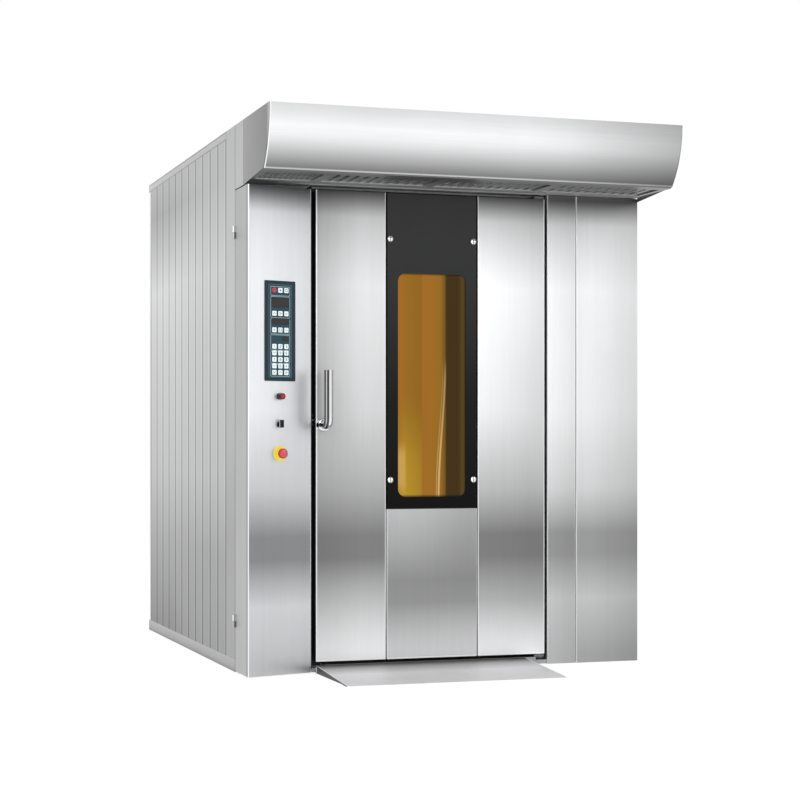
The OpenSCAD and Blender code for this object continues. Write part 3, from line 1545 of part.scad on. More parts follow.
module door_gasket() {
  y0 = door_t + seat;
  y1 = front_y0 - seat;
  sweep_y = 60;
  z0 = leaf_z0 + 4;
  color([0.12, 0.12, 0.12]) in_place() {
    slab([gasket_x0, y0, z0], [gasket_x0 + gasket_w, y1, gasket_z1 - gasket_w - seat]);
    slab([gasket_x1 - gasket_w, y0, z0], [gasket_x1, y1, gasket_z1 - gasket_w - seat]);
    slab([gasket_x0, y0, gasket_z1 - gasket_w], [gasket_x1, y1, gasket_z1]);
    slab([open_x0 + 2, sweep_y, walk_z + 3.4], [hinge_x - 24, sweep_y + 10, leaf_z0 - seat]);
  }
}

rosette_h = 36;

module handle_rosette() {
  edge_r = 6;
  color("gainsboro") in_place() translate([handle_x, -seat, handle_z]) rotate([90, 0, 0])
    rotate_extrude() difference() {
      union() {
        square([rosette_r, rosette_h - edge_r]);
        square([rosette_r - edge_r, rosette_h]);
        translate([rosette_r - edge_r, rosette_h - edge_r]) circle(edge_r);
      }
      translate([-2 * rosette_r, -1])
        square([2 * rosette_r + spindle_r + play, rosette_h + 2]);
    }
}

module door_handle() {
  arm_y1 = -rosette_h - 2 * seat;
  arm_y0 = -handle_proud + elbow_r;
  tube_z0 = handle_z + elbow_r;
  tube_z1 = handle_z + handle_l;
  wall = 2.5;
  color("gainsboro") in_place() difference() {
    union() {
      bar_y(handle_x, arm_y0, arm_y1, handle_z, handle_r);
      translate([handle_x, arm_y0, tube_z0]) rotate([0, 90, 180]) rotate_extrude(angle = 90)
        translate([elbow_r, 0]) circle(handle_r);
      bar_z(handle_x, -handle_proud, tube_z0, tube_z1, handle_r);
      bar_y(handle_x, arm_y1 - 1, cam_y + 1, handle_z, spindle_r);
      bar_y(handle_x, cam_y, cam_y + cam_t, handle_z, crank + 10);
      bar_y(handle_x - crank, cam_y + 1, bolt_y + 4, handle_z + crank, crank_pin_r);
    }
    bar_z(handle_x, -handle_proud, tube_z1 - 90, tube_z1 + 1, handle_r - wall);
  }
}

module latch_bolt() {
  plate_x = handle_x - crank;
  slot_w = crank_pin_r + 0.6;
  plate_t = 2;
  color("silver") in_place() difference() {
    union() {
      bar_x(door_x0 - 12, plate_x + 8, bolt_y, bolt_z, bolt_r);
      slab([plate_x - 10, bolt_y - plate_t, handle_z - 4],
           [plate_x + 10, bolt_y + plate_t, bolt_z]);
    }
    slab([plate_x - slot_w, bolt_y - plate_t - 1, handle_z + crank - crank_pin_r - 1],
         [plate_x + slot_w, bolt_y + plate_t + 1, handle_z + sqrt(2) * crank + crank_pin_r + 1]);
  }
}

// ---------------------------------------------------------------- nodes

levelling_feet();
base_frame();
floor_pan();
turntable_bearing();
turntable();
wheel_channels();
ramp();
wall_insulation();
chamber_liner();
air_wall();
air_shutter();
side_cladding();
rear_cladding();
body_posts();
top_trim();
plinth();
roof_panel();
side_panels();
door_frame();
door_hinges();
control_cabinet();
switchgear();
control_hinges();
control_cover();
membrane_panel();
membrane_keys();
display_windows();
switch_bezels();
start_button();
selector_knob();
stop_ring();
stop_button();
drive_gearmotor();
rack_fork();
fan_deck();
fan_motor();
fan_wheel();
heater_bank();
steam_generator();
water_pipes();
chamber_lamps();
flue_pipe();
flue_damper();
hood_shell();
hood_cheeks();
hood_soffit();
hood_filters();
hood_fan_box();
hood_fan_wheel();
door_leaf();
door_insulation();
door_skins();
door_glass();
window_panes();
glass_caps();
door_inner_panel();
door_gasket();
handle_rosette();
door_handle();
latch_bolt();
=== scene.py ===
# %% [markdown]
# # A rotating rack oven
# A bakery's rack oven takes one whole trolley. It is a tall insulated cabin clad in
# stainless sheet, with a heavy door, a control column and a steam hood across the front.
# The solids come from the CAD model and stay as they are. This lesson gives each of them
# its finish, adds the small things a solid model leaves out, and sets up the picture.

import math

import bmesh
import bpy
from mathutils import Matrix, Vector


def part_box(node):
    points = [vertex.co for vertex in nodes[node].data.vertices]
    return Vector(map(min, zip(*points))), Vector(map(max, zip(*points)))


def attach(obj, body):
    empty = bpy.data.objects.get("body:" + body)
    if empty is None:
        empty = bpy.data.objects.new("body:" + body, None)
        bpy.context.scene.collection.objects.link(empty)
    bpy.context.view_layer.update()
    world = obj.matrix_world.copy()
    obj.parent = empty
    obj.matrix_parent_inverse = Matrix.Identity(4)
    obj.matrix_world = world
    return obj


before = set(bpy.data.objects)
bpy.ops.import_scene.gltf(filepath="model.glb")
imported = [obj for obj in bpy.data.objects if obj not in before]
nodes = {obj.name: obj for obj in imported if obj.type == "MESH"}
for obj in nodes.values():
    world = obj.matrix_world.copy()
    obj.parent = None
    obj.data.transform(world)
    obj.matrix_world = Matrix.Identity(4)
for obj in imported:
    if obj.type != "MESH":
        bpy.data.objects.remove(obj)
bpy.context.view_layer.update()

# %% [markdown]
# ## The camera
# The photograph was taken from the front left, a little under half the oven's height,
# with a long lens. Its upright edges stay parallel, so the camera looks level and the
# picture is raised with the lens shift instead of tilting the camera.

# %% Set the camera
camera = bpy.data.objects.new("camera", bpy.data.cameras.new("camera"))
bpy.context.scene.collection.objects.link(camera)
camera.location = (-2.8254, -8.8331, 0.99465)
camera.rotation_euler = (math.radians(90), 0, math.radians(-18.147))
camera.data.lens = 85.21
camera.data.sensor_width = 36
camera.data.shift_y = 0.0571
bpy.context.scene.camera = camera
bpy.context.scene.view_settings.view_transform = "Standard"
print("lens", round(camera.data.lens, 2), "mm")

# %% [markdown]
# ## Sums that become nodes
# A finish is a little sum: so much of this tone, less where that mask is. Written by
# hand, each sum is several Math nodes and links. The Wire class below stands for one
# output of a node and turns +, -, * and / into Math nodes, so a finish reads as the sum
# it is. Every other kind of node comes from Tree.node, which sets the node's options
# first and then fills its sockets with numbers or wires.


# %% Wires and trees
class Wire:
    """One output of a node. A sum written on it becomes Math nodes."""

    def __init__(self, tree, socket):
        self.tree, self.socket = tree, socket

    def math(self, operation, *values):
        return self.tree.node("ShaderNodeMath", {"operation": operation}, dict(enumerate(values)))

    def __add__(self, other):
        return self.math("ADD", self, other)

    def __radd__(self, other):
        return self.math("ADD", other, self)

    def __sub__(self, other):
        return self.math("SUBTRACT", self, other)

    def __rsub__(self, other):
        return self.math("SUBTRACT", other, self)

    def __mul__(self, other):
        return self.math("MULTIPLY", self, other)

    def __rmul__(self, other):
        return self.math("MULTIPLY", other, self)

    def __truediv__(self, other):
        return self.math("DIVIDE", self, other)

    def __abs__(self):
        return self.math("ABSOLUTE", self)

    def __lt__(self, other):
        return self.math("LESS_THAN", self, other)

    def __gt__(self, other):
        return self.math("GREATER_THAN", self, other)


def pick(sockets, key):
    """The socket at a place, or the one with that name or identifier."""
    if isinstance(key, int):
        return sockets[key]
    return next(s for s in sockets if key in (s.name, s.identifier))


class Tree:
    """The nodes of one material or world."""

    def __init__(self, owner):
        owner.use_nodes = True
        self.tree = owner.node_tree
        self.tree.nodes.clear()

    def node(self, kind, settings=None, sockets=None, output=0):
        made = self.tree.nodes.new(kind)
        for key, value in (settings or {}).items():
            if key == "stops":
                points = made.color_ramp.elements
                points.remove(points[1])
                points[0].position, points[0].color = value[0]
                for place, shade in value[1:]:
                    points.new(place).color = shade
            else:
                setattr(made, key, value)
        for key, value in (sockets or {}).items():
            socket = pick(made.inputs, key)
            if isinstance(value, Wire):
                self.tree.links.new(value.socket, socket)
            else:
                socket.default_value = value
        return Wire(self, pick(made.outputs, output)) if len(made.outputs) else None


print("a tree's nodes come from one method")

# %% [markdown]
# ## The studio
# The oven stands on a pale floor in front of white. The world is plain white for what
# the camera, a reflection or glass sees, and a softer grey for the light it sheds, so
# the steel mirrors the white room and still isn't washed out. The floor mixes a matt
# white with some light of its own: it stays white but keeps the oven's shadow. Two large
# soft lamps give the shapes their direction.


# %% Light the studio
def sight(tree):
    """1 for a ray from the camera, a reflection or through glass, otherwise 0."""
    rays = [tree.node("ShaderNodeLightPath", output=name)
            for name in ("Is Camera Ray", "Is Glossy Ray", "Is Transmission Ray")]
    return rays[0].math("MAXIMUM", rays[0].math("MAXIMUM", rays[0], rays[1]), rays[2])


room = bpy.data.worlds.new("white_room")
bpy.context.scene.world = room
air = Tree(room)
AMBIENT = 0.66
sky = air.node("ShaderNodeBackground", {}, {"Color": (1, 1, 1, 1),
                                            "Strength": AMBIENT + sight(air) * (1 - AMBIENT)})
air.node("ShaderNodeOutputWorld", {}, {"Surface": sky})


def lamp(name, place, size, power, target=(0.0, 0.0, 1.2)):
    light = bpy.data.lights.new(name, "AREA")
    light.size, light.energy = size, power
    thing = bpy.data.objects.new(name, light)
    bpy.context.scene.collection.objects.link(thing)
    thing.location = place
    aim = Vector(target) - Vector(place)
    thing.rotation_euler = aim.to_track_quat("-Z", "Y").to_euler()
    print(name, "stands", round(aim.length, 1), "m away")


lamp("key_lamp", (-5.5, -6.5, 5.0), 4.0, 260)
lamp("fill_lamp", (5.0, -4.0, 4.5), 4.0, 90)
lamp("back_lamp", (0.5, 7.0, 4.0), 4.0, 90)

floor_mesh = bpy.data.meshes.new("floor")
floor_mesh.from_pydata([(-40, -40, 0), (40, -40, 0), (40, 40, 0), (-40, 40, 0)], [], [(0, 1, 2, 3)])
floor = bpy.data.objects.new("floor", floor_mesh)
bpy.context.scene.collection.objects.link(floor)
floor_paint = bpy.data.materials.new("studio_floor")
ground = Tree(floor_paint)
matt = ground.node("ShaderNodeBsdfDiffuse", {}, {"Color": (0.9, 0.9, 0.9, 1)})
glow = ground.node("ShaderNodeEmission", {}, {"Color": (1, 1, 1, 1), "Strength": 1.15})
mixed = ground.node("ShaderNodeMixShader", {}, {0: 0.75, 1: matt, 2: glow})
ground.node("ShaderNodeOutputMaterial", {}, {"Surface": mixed})
floor_mesh.materials.append(floor_paint)

# %% [markdown]
# ## A finish
# Every finish starts from the Principled shader. What is the same all over goes straight
# onto its sockets; what changes over the surface is worked out from the place on the
# oven, in metres, which the object coordinates give because every solid's origin is the
# oven's own. The methods name what a metal worker would see: tones along a line, grain
# from the brush, blotches from cleaning, and fine relief for the bump.


# %% The Finish class
def linear(grey):
    """A grey or colour channel of 0 to 255, as seen on screen, as the shader's number."""
    part = grey / 255
    return part / 12.92 if part <= 0.04045 else ((part + 0.055) / 1.055) ** 2.4


def shade(red, green, blue):
    return (linear(red), linear(green), linear(blue), 1.0)


class Finish(Tree):
    """A material: a Principled shader and the nodes that feed it."""

    def __init__(self, name, **constants):
        self.material = bpy.data.materials.new(name)
        super().__init__(self.material)
        self.skin = self.tree.nodes.new("ShaderNodeBsdfPrincipled")
        result = self.tree.nodes.new("ShaderNodeOutputMaterial")
        self.tree.links.new(self.skin.outputs[0], result.inputs[0])
        for words, value in constants.items():
            pick(self.skin.inputs, words.replace("_", " ")).default_value = value
        self.place = self.node("ShaderNodeTexCoord", output="Object")
        self.x, self.y, self.z = self.parts(self.place)

    def parts(self, vector):
        split = self.node("ShaderNodeSeparateXYZ", {}, {0: vector})
        outs = split.socket.node.outputs
        return [Wire(self, outs[i]) for i in range(3)]

    def facing(self):
        """The three parts of the surface's own direction."""
        return self.parts(self.node("ShaderNodeTexCoord", output="Normal"))

    def tones(self, along, stops):
        """A grey that follows stops of (place in metres, grey of 0 to 255)."""
        low, high = stops[0][0], stops[-1][0]
        ramp = [((p - low) / (high - low), shade(g, g, g)) for p, g in stops]
        return self.node("ShaderNodeValToRGB", {"stops": ramp},
                         {"Fac": (along - low) / (high - low)})

    def parted(self, along, stops):
        """A plain factor that follows stops of (place in metres, factor of 0 to 2)."""
        low, high = stops[0][0], stops[-1][0]
        ramp = [((p - low) / (high - low), (f / 2, f / 2, f / 2, 1)) for p, f in stops]
        return self.node("ShaderNodeValToRGB", {"stops": ramp},
                         {"Fac": (along - low) / (high - low)}) * 2

    def rise(self, value, low, high):
        """0 below low, 1 above high, with a soft step between."""
        return self.node("ShaderNodeMapRange", {"interpolation_type": "SMOOTHSTEP"},
                         {"Value": value, "From Min": low, "From Max": high})

    def band(self, value, low, high, soft):
        return self.rise(value, low - soft, low) * (1 - self.rise(value, high, high + soft))

    def noise(self, scale, detail=2.0):
        spread = self.node("ShaderNodeMapping", {}, {"Vector": self.place, "Scale": scale})
        return self.node("ShaderNodeTexNoise", {}, {"Vector": spread, "Scale": 1.0, "Detail": detail})

    def cells(self, scale, output="Distance"):
        return self.node("ShaderNodeTexVoronoi", {}, {"Vector": self.place, "Scale": scale}, output)

    def colour(self, level, dark, light):
        """A colour that goes from dark at 0 to light at 1."""
        return self.node("ShaderNodeMix", {"data_type": "RGBA"},
                         {"Factor_Float": level, "A_Color": dark, "B_Color": light}, "Result_Color")

    def wear(self, base=None, rough=None, bump=None, depth=0.0003, strength=0.5, **more):
        """Feeds the shader. bump is a height of 0 to 1, depth its size in metres."""
        feeds = {"Base Color": base, "Roughness": rough}
        feeds.update({words.replace("_", " "): wire for words, wire in more.items()})
        if bump is not None:
            feeds["Normal"] = self.node("ShaderNodeBump", {}, {
                "Height": bump, "Distance": depth, "Strength": strength})
        for name, wire in feeds.items():
            if wire is not None:
                self.tree.links.new(wire.socket, pick(self.skin.inputs, name))
        return self


def dress(finish, *names):
    """Puts a finish on CAD nodes."""
    for name in names:
        for slot in nodes[name].material_slots:
            slot.material = finish.material
        undressed.discard(name)
    print(finish.material.name, "on", ", ".join(names))


undressed = set(nodes)
BLACK = (0, 0, 0, 1)
print(len(undressed), "solids to dress")

# %% [markdown]
# ## Brushed stainless
# Nearly all that shows is satin stainless sheet, brushed in one direction. Up close it
# is thousands of fine scratches; from a few metres they join into faint streaks, and the
# sheet holds long soft bands of the room around it. A plain mirror of a white room would
# lose those bands, so they are laid in the sheet's own tone as stops by height, taken to
# one side by a second row of stops. The grain is a noise squeezed across the brushing
# and drawn out along it: it moves tone, roughness and bump together, as on real sheet.

# %% Brush a sheet
GRAIN = {"x": (6, 260, 260), "y": (260, 6, 260), "z": (260, 260, 5)}
STREAK = {"x": (1.2, 45, 45), "y": (45, 1.2, 45), "z": (45, 45, 0.9)}


def brushed(name, level, grain="z", metallic=0.78, rough=0.34, contrast=0.07, cool=None):
    """level(finish) gives the tone as a wire, cool(finish) how blue it is."""
    steel = Finish(name, Metallic=metallic)
    fine = steel.noise(GRAIN[grain], 3.0)
    streaks = steel.noise(STREAK[grain], 2.0)
    wiped = steel.noise((2.6, 2.6, 1.7), 3.0)
    tone = level(steel)
    tone = tone * (1 + contrast * (fine - 0.5) + contrast * (streaks - 0.5)
                   + 0.06 * (wiped - 0.5))
    light = (0.985, 0.99, 1, 1)
    if cool:
        light = steel.colour(cool(steel), light, (0.955, 0.975, 1, 1))
    rough_wire = rough - 0.04 + 0.10 * fine + 0.10 * (wiped - 0.5)
    return steel.wear(steel.colour(tone, BLACK, light), rough_wire,
                      0.7 * fine + 0.3 * streaks, depth=0.0002, strength=0.25)


def painted_edge_highlight(steel, tone, axis, reach=0.97, grey=236):
    """Folded edges turn away from the sheet and get a painted highlight."""
    turned = 1 - steel.rise(abs(axis), reach - 0.12, reach)
    return tone + turned * (linear(grey) - tone)


print("brushed sheet, grain in three directions")

# %% [markdown]
# ## The room in the steel
# Every front sheet mirrors the same room. From the floor up it shows the bright floor, a dimmer stretch,
# the dark line where floor meets wall, the bright room, and last the shadow under the hood. These are
# painted reflections and a painted shadow: one function lays them as bands at fixed heights, and a sheet
# gives each band a grey. The greys are few and go in steps of five: they describe a band, and don't copy
# the steel place by place.

# %% Bands at fixed heights
FOOT, SHIN, KNEE_LOW, KNEE_HIGH, WAIST, CHEST, BROW, UNDER_HOOD, LINTEL = (
    0.05, 0.30, 0.50, 0.60, 0.80, 1.15, 1.70, 2.00, 2.11)


def painted_room_bands(f, foot, shin, knee, waist, chest, brow):
    """Painted reflection bands of the room, and the painted shadow under the hood, on an upright sheet,
    from its foot to its top.
    """
    return f.tones(f.z, [(FOOT, foot), (SHIN, shin), (KNEE_LOW, knee), (KNEE_HIGH, knee), (WAIST, waist),
                         (CHEST, chest), (BROW, brow), (UNDER_HOOD, 205), (LINTEL, 90)])


print("nine heights, six greys to a sheet")

# %% [markdown]
# ## The door's steel panels
# The door carries three brushed panels round a black glass. They hang in front of a leaf darkened as
# painted shade, with narrow seams between them. One finish serves all three: each has its own greys of
# painted reflection, chosen by its place across, and the outer edges turn a little darker higher up as
# painted shade, as does the low panel towards its upper right. A painted highlight line runs along the
# upright edges of the left and right panels and along the foot.


# %% The door panels
DOOR_LOW, DOOR_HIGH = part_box("door_skins")
SEAM_LEFT, SEAM_RIGHT = -0.277, 0.147


def door_tone(f):
    left = painted_room_bands(f, 245, 190, 125, 170, 210, 230)
    right = painted_room_bands(f, 240, 170, 120, 180, 225, 245)
    low = f.tones(f.z, [(0.05, 215), (0.3, 145), (0.4, 140), (0.7, 185)])
    # painted shade: the outer parts of the left and right panels turn darker higher up, and the low panel
    # towards its upper right
    high_up = 0.45 + 0.55 * f.rise(f.z, 0.8, 1.25)
    from_left = f.parted(f.x, [(-0.6, 0.65), (-0.4, 1.0)])
    from_right = f.parted(f.x, [(0.15, 1.15), (0.3, 1.0), (0.48, 0.8)])
    left = left * (1 - (1 - from_left) * high_up)
    right = right * (1 - (1 - from_right) * high_up)
    low = low * (1 - 0.22 * f.rise(f.x, -0.2, 0.14) * f.rise(f.z, 0.25, 0.6))
    tone = left + f.rise(f.x, SEAM_LEFT - 0.0005, SEAM_LEFT + 0.0005) * (low - left)
    tone = tone + f.rise(f.x, SEAM_RIGHT - 0.0005, SEAM_RIGHT + 0.0005) * (right - tone)
    # painted highlight lines along the upright edges of the left and right panels and along the foot of the
    # panels
    edges = (DOOR_LOW.x, SEAM_LEFT - 0.0035, SEAM_RIGHT + 0.0035, DOOR_HIGH.x)
    highlit_edges = [f.band(abs(f.x - x), 0.0, 0.0035, 0.0025) for x in edges]
    rims = f.band(f.z, DOOR_LOW.z, DOOR_LOW.z + 0.005, 0.003)
    for end in highlit_edges:
        rims = rims.math("MAXIMUM", rims, end)
    tone = tone + 0.8 * rims * (linear(246) - tone)
    return painted_edge_highlight(f, tone, f.facing()[1])


dress(brushed("door_steel", door_tone), "door_skins")

# %% [markdown]
# ## The panels beside the door
# To the right of the door a narrow folded strip and a wide panel close the front. They are the same sheet,
# a touch brighter as they turn more of the room to the camera; these are painted reflection bands, darker
# towards each panel's right end as painted shade, and the folded edges get a painted highlight.


# %% The front panels
PANEL_SEAM = 0.623


def front_tone(f):
    strip = painted_room_bands(f, 175, 190, 145, 205, 235, 240)
    wide = painted_room_bands(f, 160, 190, 150, 205, 230, 235)
    # painted shade: each panel turns darker towards its right end
    strip = strip * f.parted(f.x, [(0.49, 1.04), (PANEL_SEAM, 0.87)])
    wide = wide * f.parted(f.x, [(PANEL_SEAM, 1.0), (0.7, 1.0), (0.94, 0.77)])
    tone = strip + f.rise(f.x, PANEL_SEAM - 0.0005, PANEL_SEAM + 0.0005) * (wide - strip)
    return painted_edge_highlight(f, tone, f.facing()[1])


dress(brushed("front_steel", front_tone), "side_panels")

# %% [markdown]
# ## The control column
# The column stands at a slight angle to the door, so its face mirrors another part of the room: cooler,
# with a dark band lower down. These are painted reflection bands and a painted blue tint, darker further
# across the face higher up. Its side, folded from the same sheet, faces away from the light and stays an
# even grey as painted shade, with more painted shade in the hollow by the corner, a painted highlight on
# the lip, and a painted highlight on the rounded corner.


# %% The control column
COLUMN_TURN = math.radians(16.49)
COLUMN_CORNER = Vector((-0.92685, -0.9605, 0))
COLUMN_ALONG = Vector((math.cos(COLUMN_TURN), math.sin(COLUMN_TURN), 0))
COLUMN_OUT = Vector((math.sin(COLUMN_TURN), -math.cos(COLUMN_TURN), 0))


def on_column(across, height, out=0.0):
    """A point on the column's face, from its outer edge, in metres."""
    return COLUMN_CORNER + COLUMN_ALONG * across + COLUMN_OUT * out + Vector((0, 0, height))


def column_across(f):
    """How far a point is from the column's outer edge, along its face."""
    return (f.x - COLUMN_CORNER.x) * COLUMN_ALONG.x + (f.y - COLUMN_CORNER.y) * COLUMN_ALONG.y


def column_tone(f):
    face = painted_room_bands(f, 190, 205, 135, 195, 230, 220)
    side = f.tones(f.z, [(0.0, 170), (0.7, 170), (1.0, 175), (2.1, 165)])
    high_up = f.rise(f.z, 0.7, 1.15)
    turned = f.parted(column_across(f), [(0.0, 1.02), (0.08, 1.0), (0.32, 0.8)])
    face = face * (1 - (1 - turned) * high_up)
    out = f.facing()
    toward = 0 - out[1]
    # painted shade in the hollow near the front corner, and a painted highlight on the lip
    hollow_shade = f.band(f.y, COLUMN_CORNER.y + 0.004, COLUMN_CORNER.y + 0.022, 0.012)
    lip = f.band(f.y, COLUMN_CORNER.y + 0.088, COLUMN_CORNER.y + 0.094, 0.004)
    side = side * (0.94 - 0.38 * hollow_shade + 0.12 * lip)
    tone = side + f.rise(toward, 0.35, 0.9) * (face - side)
    # a painted highlight on the rounded corner between face and side
    corner = f.band(toward, 0.45, 0.85, 0.08)
    return tone + corner * (linear(246) - tone)


# the blue tint on the face is painted: a cooler part of the room in reflection
column_steel = brushed("column_steel", column_tone, cool=lambda f: f.rise(0 - f.facing()[1], 0.6, 0.9))
dress(column_steel, "control_cover")

# %% [markdown]
# ## The cladding, its posts and trims
# The long walls are upright cassettes with grooves between them. Each cassette is a little dished, so it is
# darker at one edge and lighter at the other, as painted shade and light; the sum that finds the place
# within a cassette is a fraction of its number. The walls also get painted reflection bands by height,
# painted shade in the grooves and a painted highlight beside each. The posts, the top trim and the plinth
# are plain folded sheet.

# %% The cladding
SIDE_Y0, SIDE_Y1, SIDE_COUNT = -0.5395, 1.2465, 11
REAR_X0, REAR_X1, REAR_COUNT = -0.857, 0.870, 11


def wall_tone(f, along, start, end, count):
    # painted reflection bands by height, changing along the wall
    near = f.tones(f.z, [(0.05, 140), (0.5, 150), (0.85, 180), (1.8, 195), (2.2, 170)])
    far = f.tones(f.z, [(0.05, 110), (0.5, 155), (0.85, 185), (1.8, 210), (2.2, 150), (2.4, 170)])
    tone = near + f.rise(along, start + 0.3, end - 0.2) * (far - near)
    step = (along - start) * (count / (end - start))
    within = step.math("FRACT", step)
    number = step.math("FLOOR", step)
    own = number.math("SINE", number * 12.9)
    # painted shade in the grooves, a painted highlight beside each, and painted shading across each
    # cassette
    groove_shade = 1 - f.band(within, 0.09, 0.93, 0.05)
    cassette_edge_highlight = f.band(within, 0.13, 0.22, 0.06)
    return tone * (0.94 + 0.09 * within + 0.03 * own - 0.5 * groove_shade + 0.16 * cassette_edge_highlight)


side_steel = brushed("side_cladding_steel", lambda f: wall_tone(f, f.y, SIDE_Y0, SIDE_Y1, SIDE_COUNT),
                     rough=0.38)
rear_steel = brushed("rear_cladding_steel", lambda f: wall_tone(f, f.x, REAR_X0, REAR_X1, REAR_COUNT),
                     rough=0.38)
dress(side_steel, "side_cladding")
dress(rear_steel, "rear_cladding")


def post_tone(f):
    # painted bands of light and shade by height, front and rear; darker at the joint with the cladding and
    # lighter behind the rear corner
    front = f.tones(f.z, [(0.0, 150), (0.6, 150), (1.0, 170), (1.7, 185), (2.4, 170)])
    rear = f.tones(f.z, [(0.0, 120), (0.5, 160), (1.8, 190), (2.4, 180)])
    tone = front + f.rise(f.y, 0.0, 1.0) * (rear - front)
    joint = f.band(f.y, SIDE_Y0 - 0.012, SIDE_Y0 + 0.01, 0.006)
    corner = f.rise(f.y, SIDE_Y1 + 0.012, SIDE_Y1 + 0.016)
    return tone * (1 - 0.25 * joint) + 0.8 * corner * (linear(212) - tone)


dress(brushed("post_steel", post_tone, rough=0.36), "body_posts")
TRIM_LOW, TRIM_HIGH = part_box("top_trim")


def trim_tone(f):
    tone = f.tones(f.y, [(-0.9, 170), (0.6, 175), (1.32, 185)])
    lines = f.band(f.z, TRIM_LOW.z, TRIM_LOW.z + 0.004, 0.003)
    lines = lines + f.band(f.z, TRIM_HIGH.z - 0.005, TRIM_HIGH.z, 0.003)
    return tone * (1 - 0.5 * lines * f.rise(abs(f.facing()[0]), 0.5, 0.7))


dress(brushed("trim_steel", trim_tone, grain="y", rough=0.36), "top_trim")
plinth_steel = brushed("plinth_steel", lambda f: f.tones(f.z, [
    (0.0, 110), (0.02, 155), (0.085, 185), (0.1, 115)]), grain="y", rough=0.4)
dress(plinth_steel, "plinth")

# %% [markdown]
# ## The steam hood
# The valance is one bent sheet with its brushing along the oven. It curves under, so the upper part shows
# the bright room and the lower part the dark floor; these are painted reflection bands, darker towards the
# right. Its lower lip is folded over and shines with a painted highlight, as does its left end. The cheeks
# close the ends, with painted shade bands along their depth and a darker line at the fold. From below, the
# hood is dim with painted shade, lighter towards the oven.


# %% The hood
HOOD_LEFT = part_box("hood_shell")[0].x


def valance_tone(f):
    tone = f.tones(f.z, [(2.142, 205), (2.147, 185), (2.149, 125), (2.2, 180), (2.27, 235), (2.31, 245),
                         (2.4, 215)])
    # a painted highlight along the left end
    end = f.band(abs(f.x - HOOD_LEFT), 0.0, 0.004, 0.003)
    tone = tone + 0.85 * end * (linear(252) - tone)
    return tone * f.parted(f.x, [(-0.93, 0.98), (0.2, 0.98), (0.4, 0.9), (0.94, 0.5)])


def cheek_tone(f):
    # painted shade bands along the cheek's depth
    tone = f.tones(f.y, [(-1.33, 160), (-1.31, 155), (-1.285, 105), (-1.0, 125), (-0.8, 140)])
    fold = f.band(f.y, -0.8755, -0.8715, 0.002)
    return tone * (1 - 0.3 * fold)


dress(brushed("hood_steel", valance_tone, grain="x", rough=0.30), "hood_shell")
dress(brushed("cheek_steel", cheek_tone, rough=0.34), "hood_cheeks")
# painted shade under the hood, lighter towards the oven
soffit_steel = brushed("soffit_steel", lambda f: f.tones(f.y, [
    (-1.25, 110), (-1.15, 120), (-0.95, 180), (-0.87, 220)]), grain="x", rough=0.4)


def filter_tone(f):
    """Painted light and shade: lighter towards the oven, and on the slats' upper faces."""
    under = f.tones(f.y, [(-1.24, 90), (-1.05, 135), (-0.88, 190)])
    return under * f.parted(f.z, [(2.14, 1.0), (2.146, 1.0), (2.152, 1.7)])


dress(brushed("filter_steel", filter_tone, grain="y", rough=0.4), "hood_filters")
dress(soffit_steel, "hood_soffit")

# %% [markdown]
# ## Black glass and the lit window
# The middle of the door is toughened glass, black-enamelled on the back except for the window; a painted
# reflection makes it lighter towards the top. Behind it sits a heat-resistant pane, lit amber by the
# chamber's lamps. What one sees through it is soft: bright uprights of the chamber on one side, the dark
# door tunnel on the other, and one long glint. A true see-through pane would show noise more than oven, so
# the pane glows with those soft shapes and keeps a hard glossy coat: the glow is painted light and shade,
# with a painted glint, a painted bright spot low on the left and painted shade round its edge.


# %% Glass
GLASS_LOW, GLASS_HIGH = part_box("door_glass")


def glass_tone(f):
    # painted reflection: the black glass is lighter towards the top; it also goes black at its left and
    # right ends
    rims = f.band(f.x, GLASS_LOW.x + 0.004, GLASS_HIGH.x - 0.004, 0.002)
    return rims * f.tones(f.z, [(0.72, 10), (1.2, 25), (2.1, 60)])


black_glass = Finish("black_glass", Specular_IOR_Level=0.08, Coat_Weight=0.0)
smears = black_glass.noise((9, 9, 3), 4.0)
enamel = black_glass.colour(glass_tone(black_glass) * (0.93 + 0.14 * smears), BLACK, (0.98, 0.99, 1, 1))
black_glass.wear(enamel, 0.05 + 0.10 * smears, smears, depth=0.00005, strength=0.1)
dress(black_glass, "door_glass")

# %% What the window shows
WINDOW_LEFT, WINDOW_RIGHT, WINDOW_LOW, WINDOW_HIGH = -0.224, 0.095, 0.768, 1.758
# painted light and shade of the chamber seen through the pane: lit amber uprights on the left, a dark
# tunnel and jamb on the right
AMBER, LIT_AMBER, DULL_AMBER = shade(148, 98, 26), shade(160, 106, 32), shade(110, 80, 28)
OLIVE_AMBER, GOLD, OLD_GOLD = shade(150, 106, 30), shade(184, 144, 36), shade(164, 126, 34)
TUNNEL, JAMB = shade(64, 46, 14), shade(86, 66, 32)
UPRIGHT = 0.355
RIGHT_HALF = [(UPRIGHT + 0.01, LIT_AMBER), (0.48, LIT_AMBER), (0.63, OLIVE_AMBER), (0.7, DULL_AMBER),
              (0.72, TUNNEL), (0.9, TUNNEL), (0.96, JAMB), (1.0, TUNNEL)]
LEFT_ABOVE = [(0.0, LIT_AMBER), (0.06, LIT_AMBER), (0.15, OLIVE_AMBER), (UPRIGHT - 0.01, AMBER)]
LEFT_BELOW = [(0.0, OLD_GOLD), (0.09, GOLD), (UPRIGHT - 0.01, OLD_GOLD)]
print("the window is", round(WINDOW_RIGHT - WINDOW_LEFT, 3), "m wide")

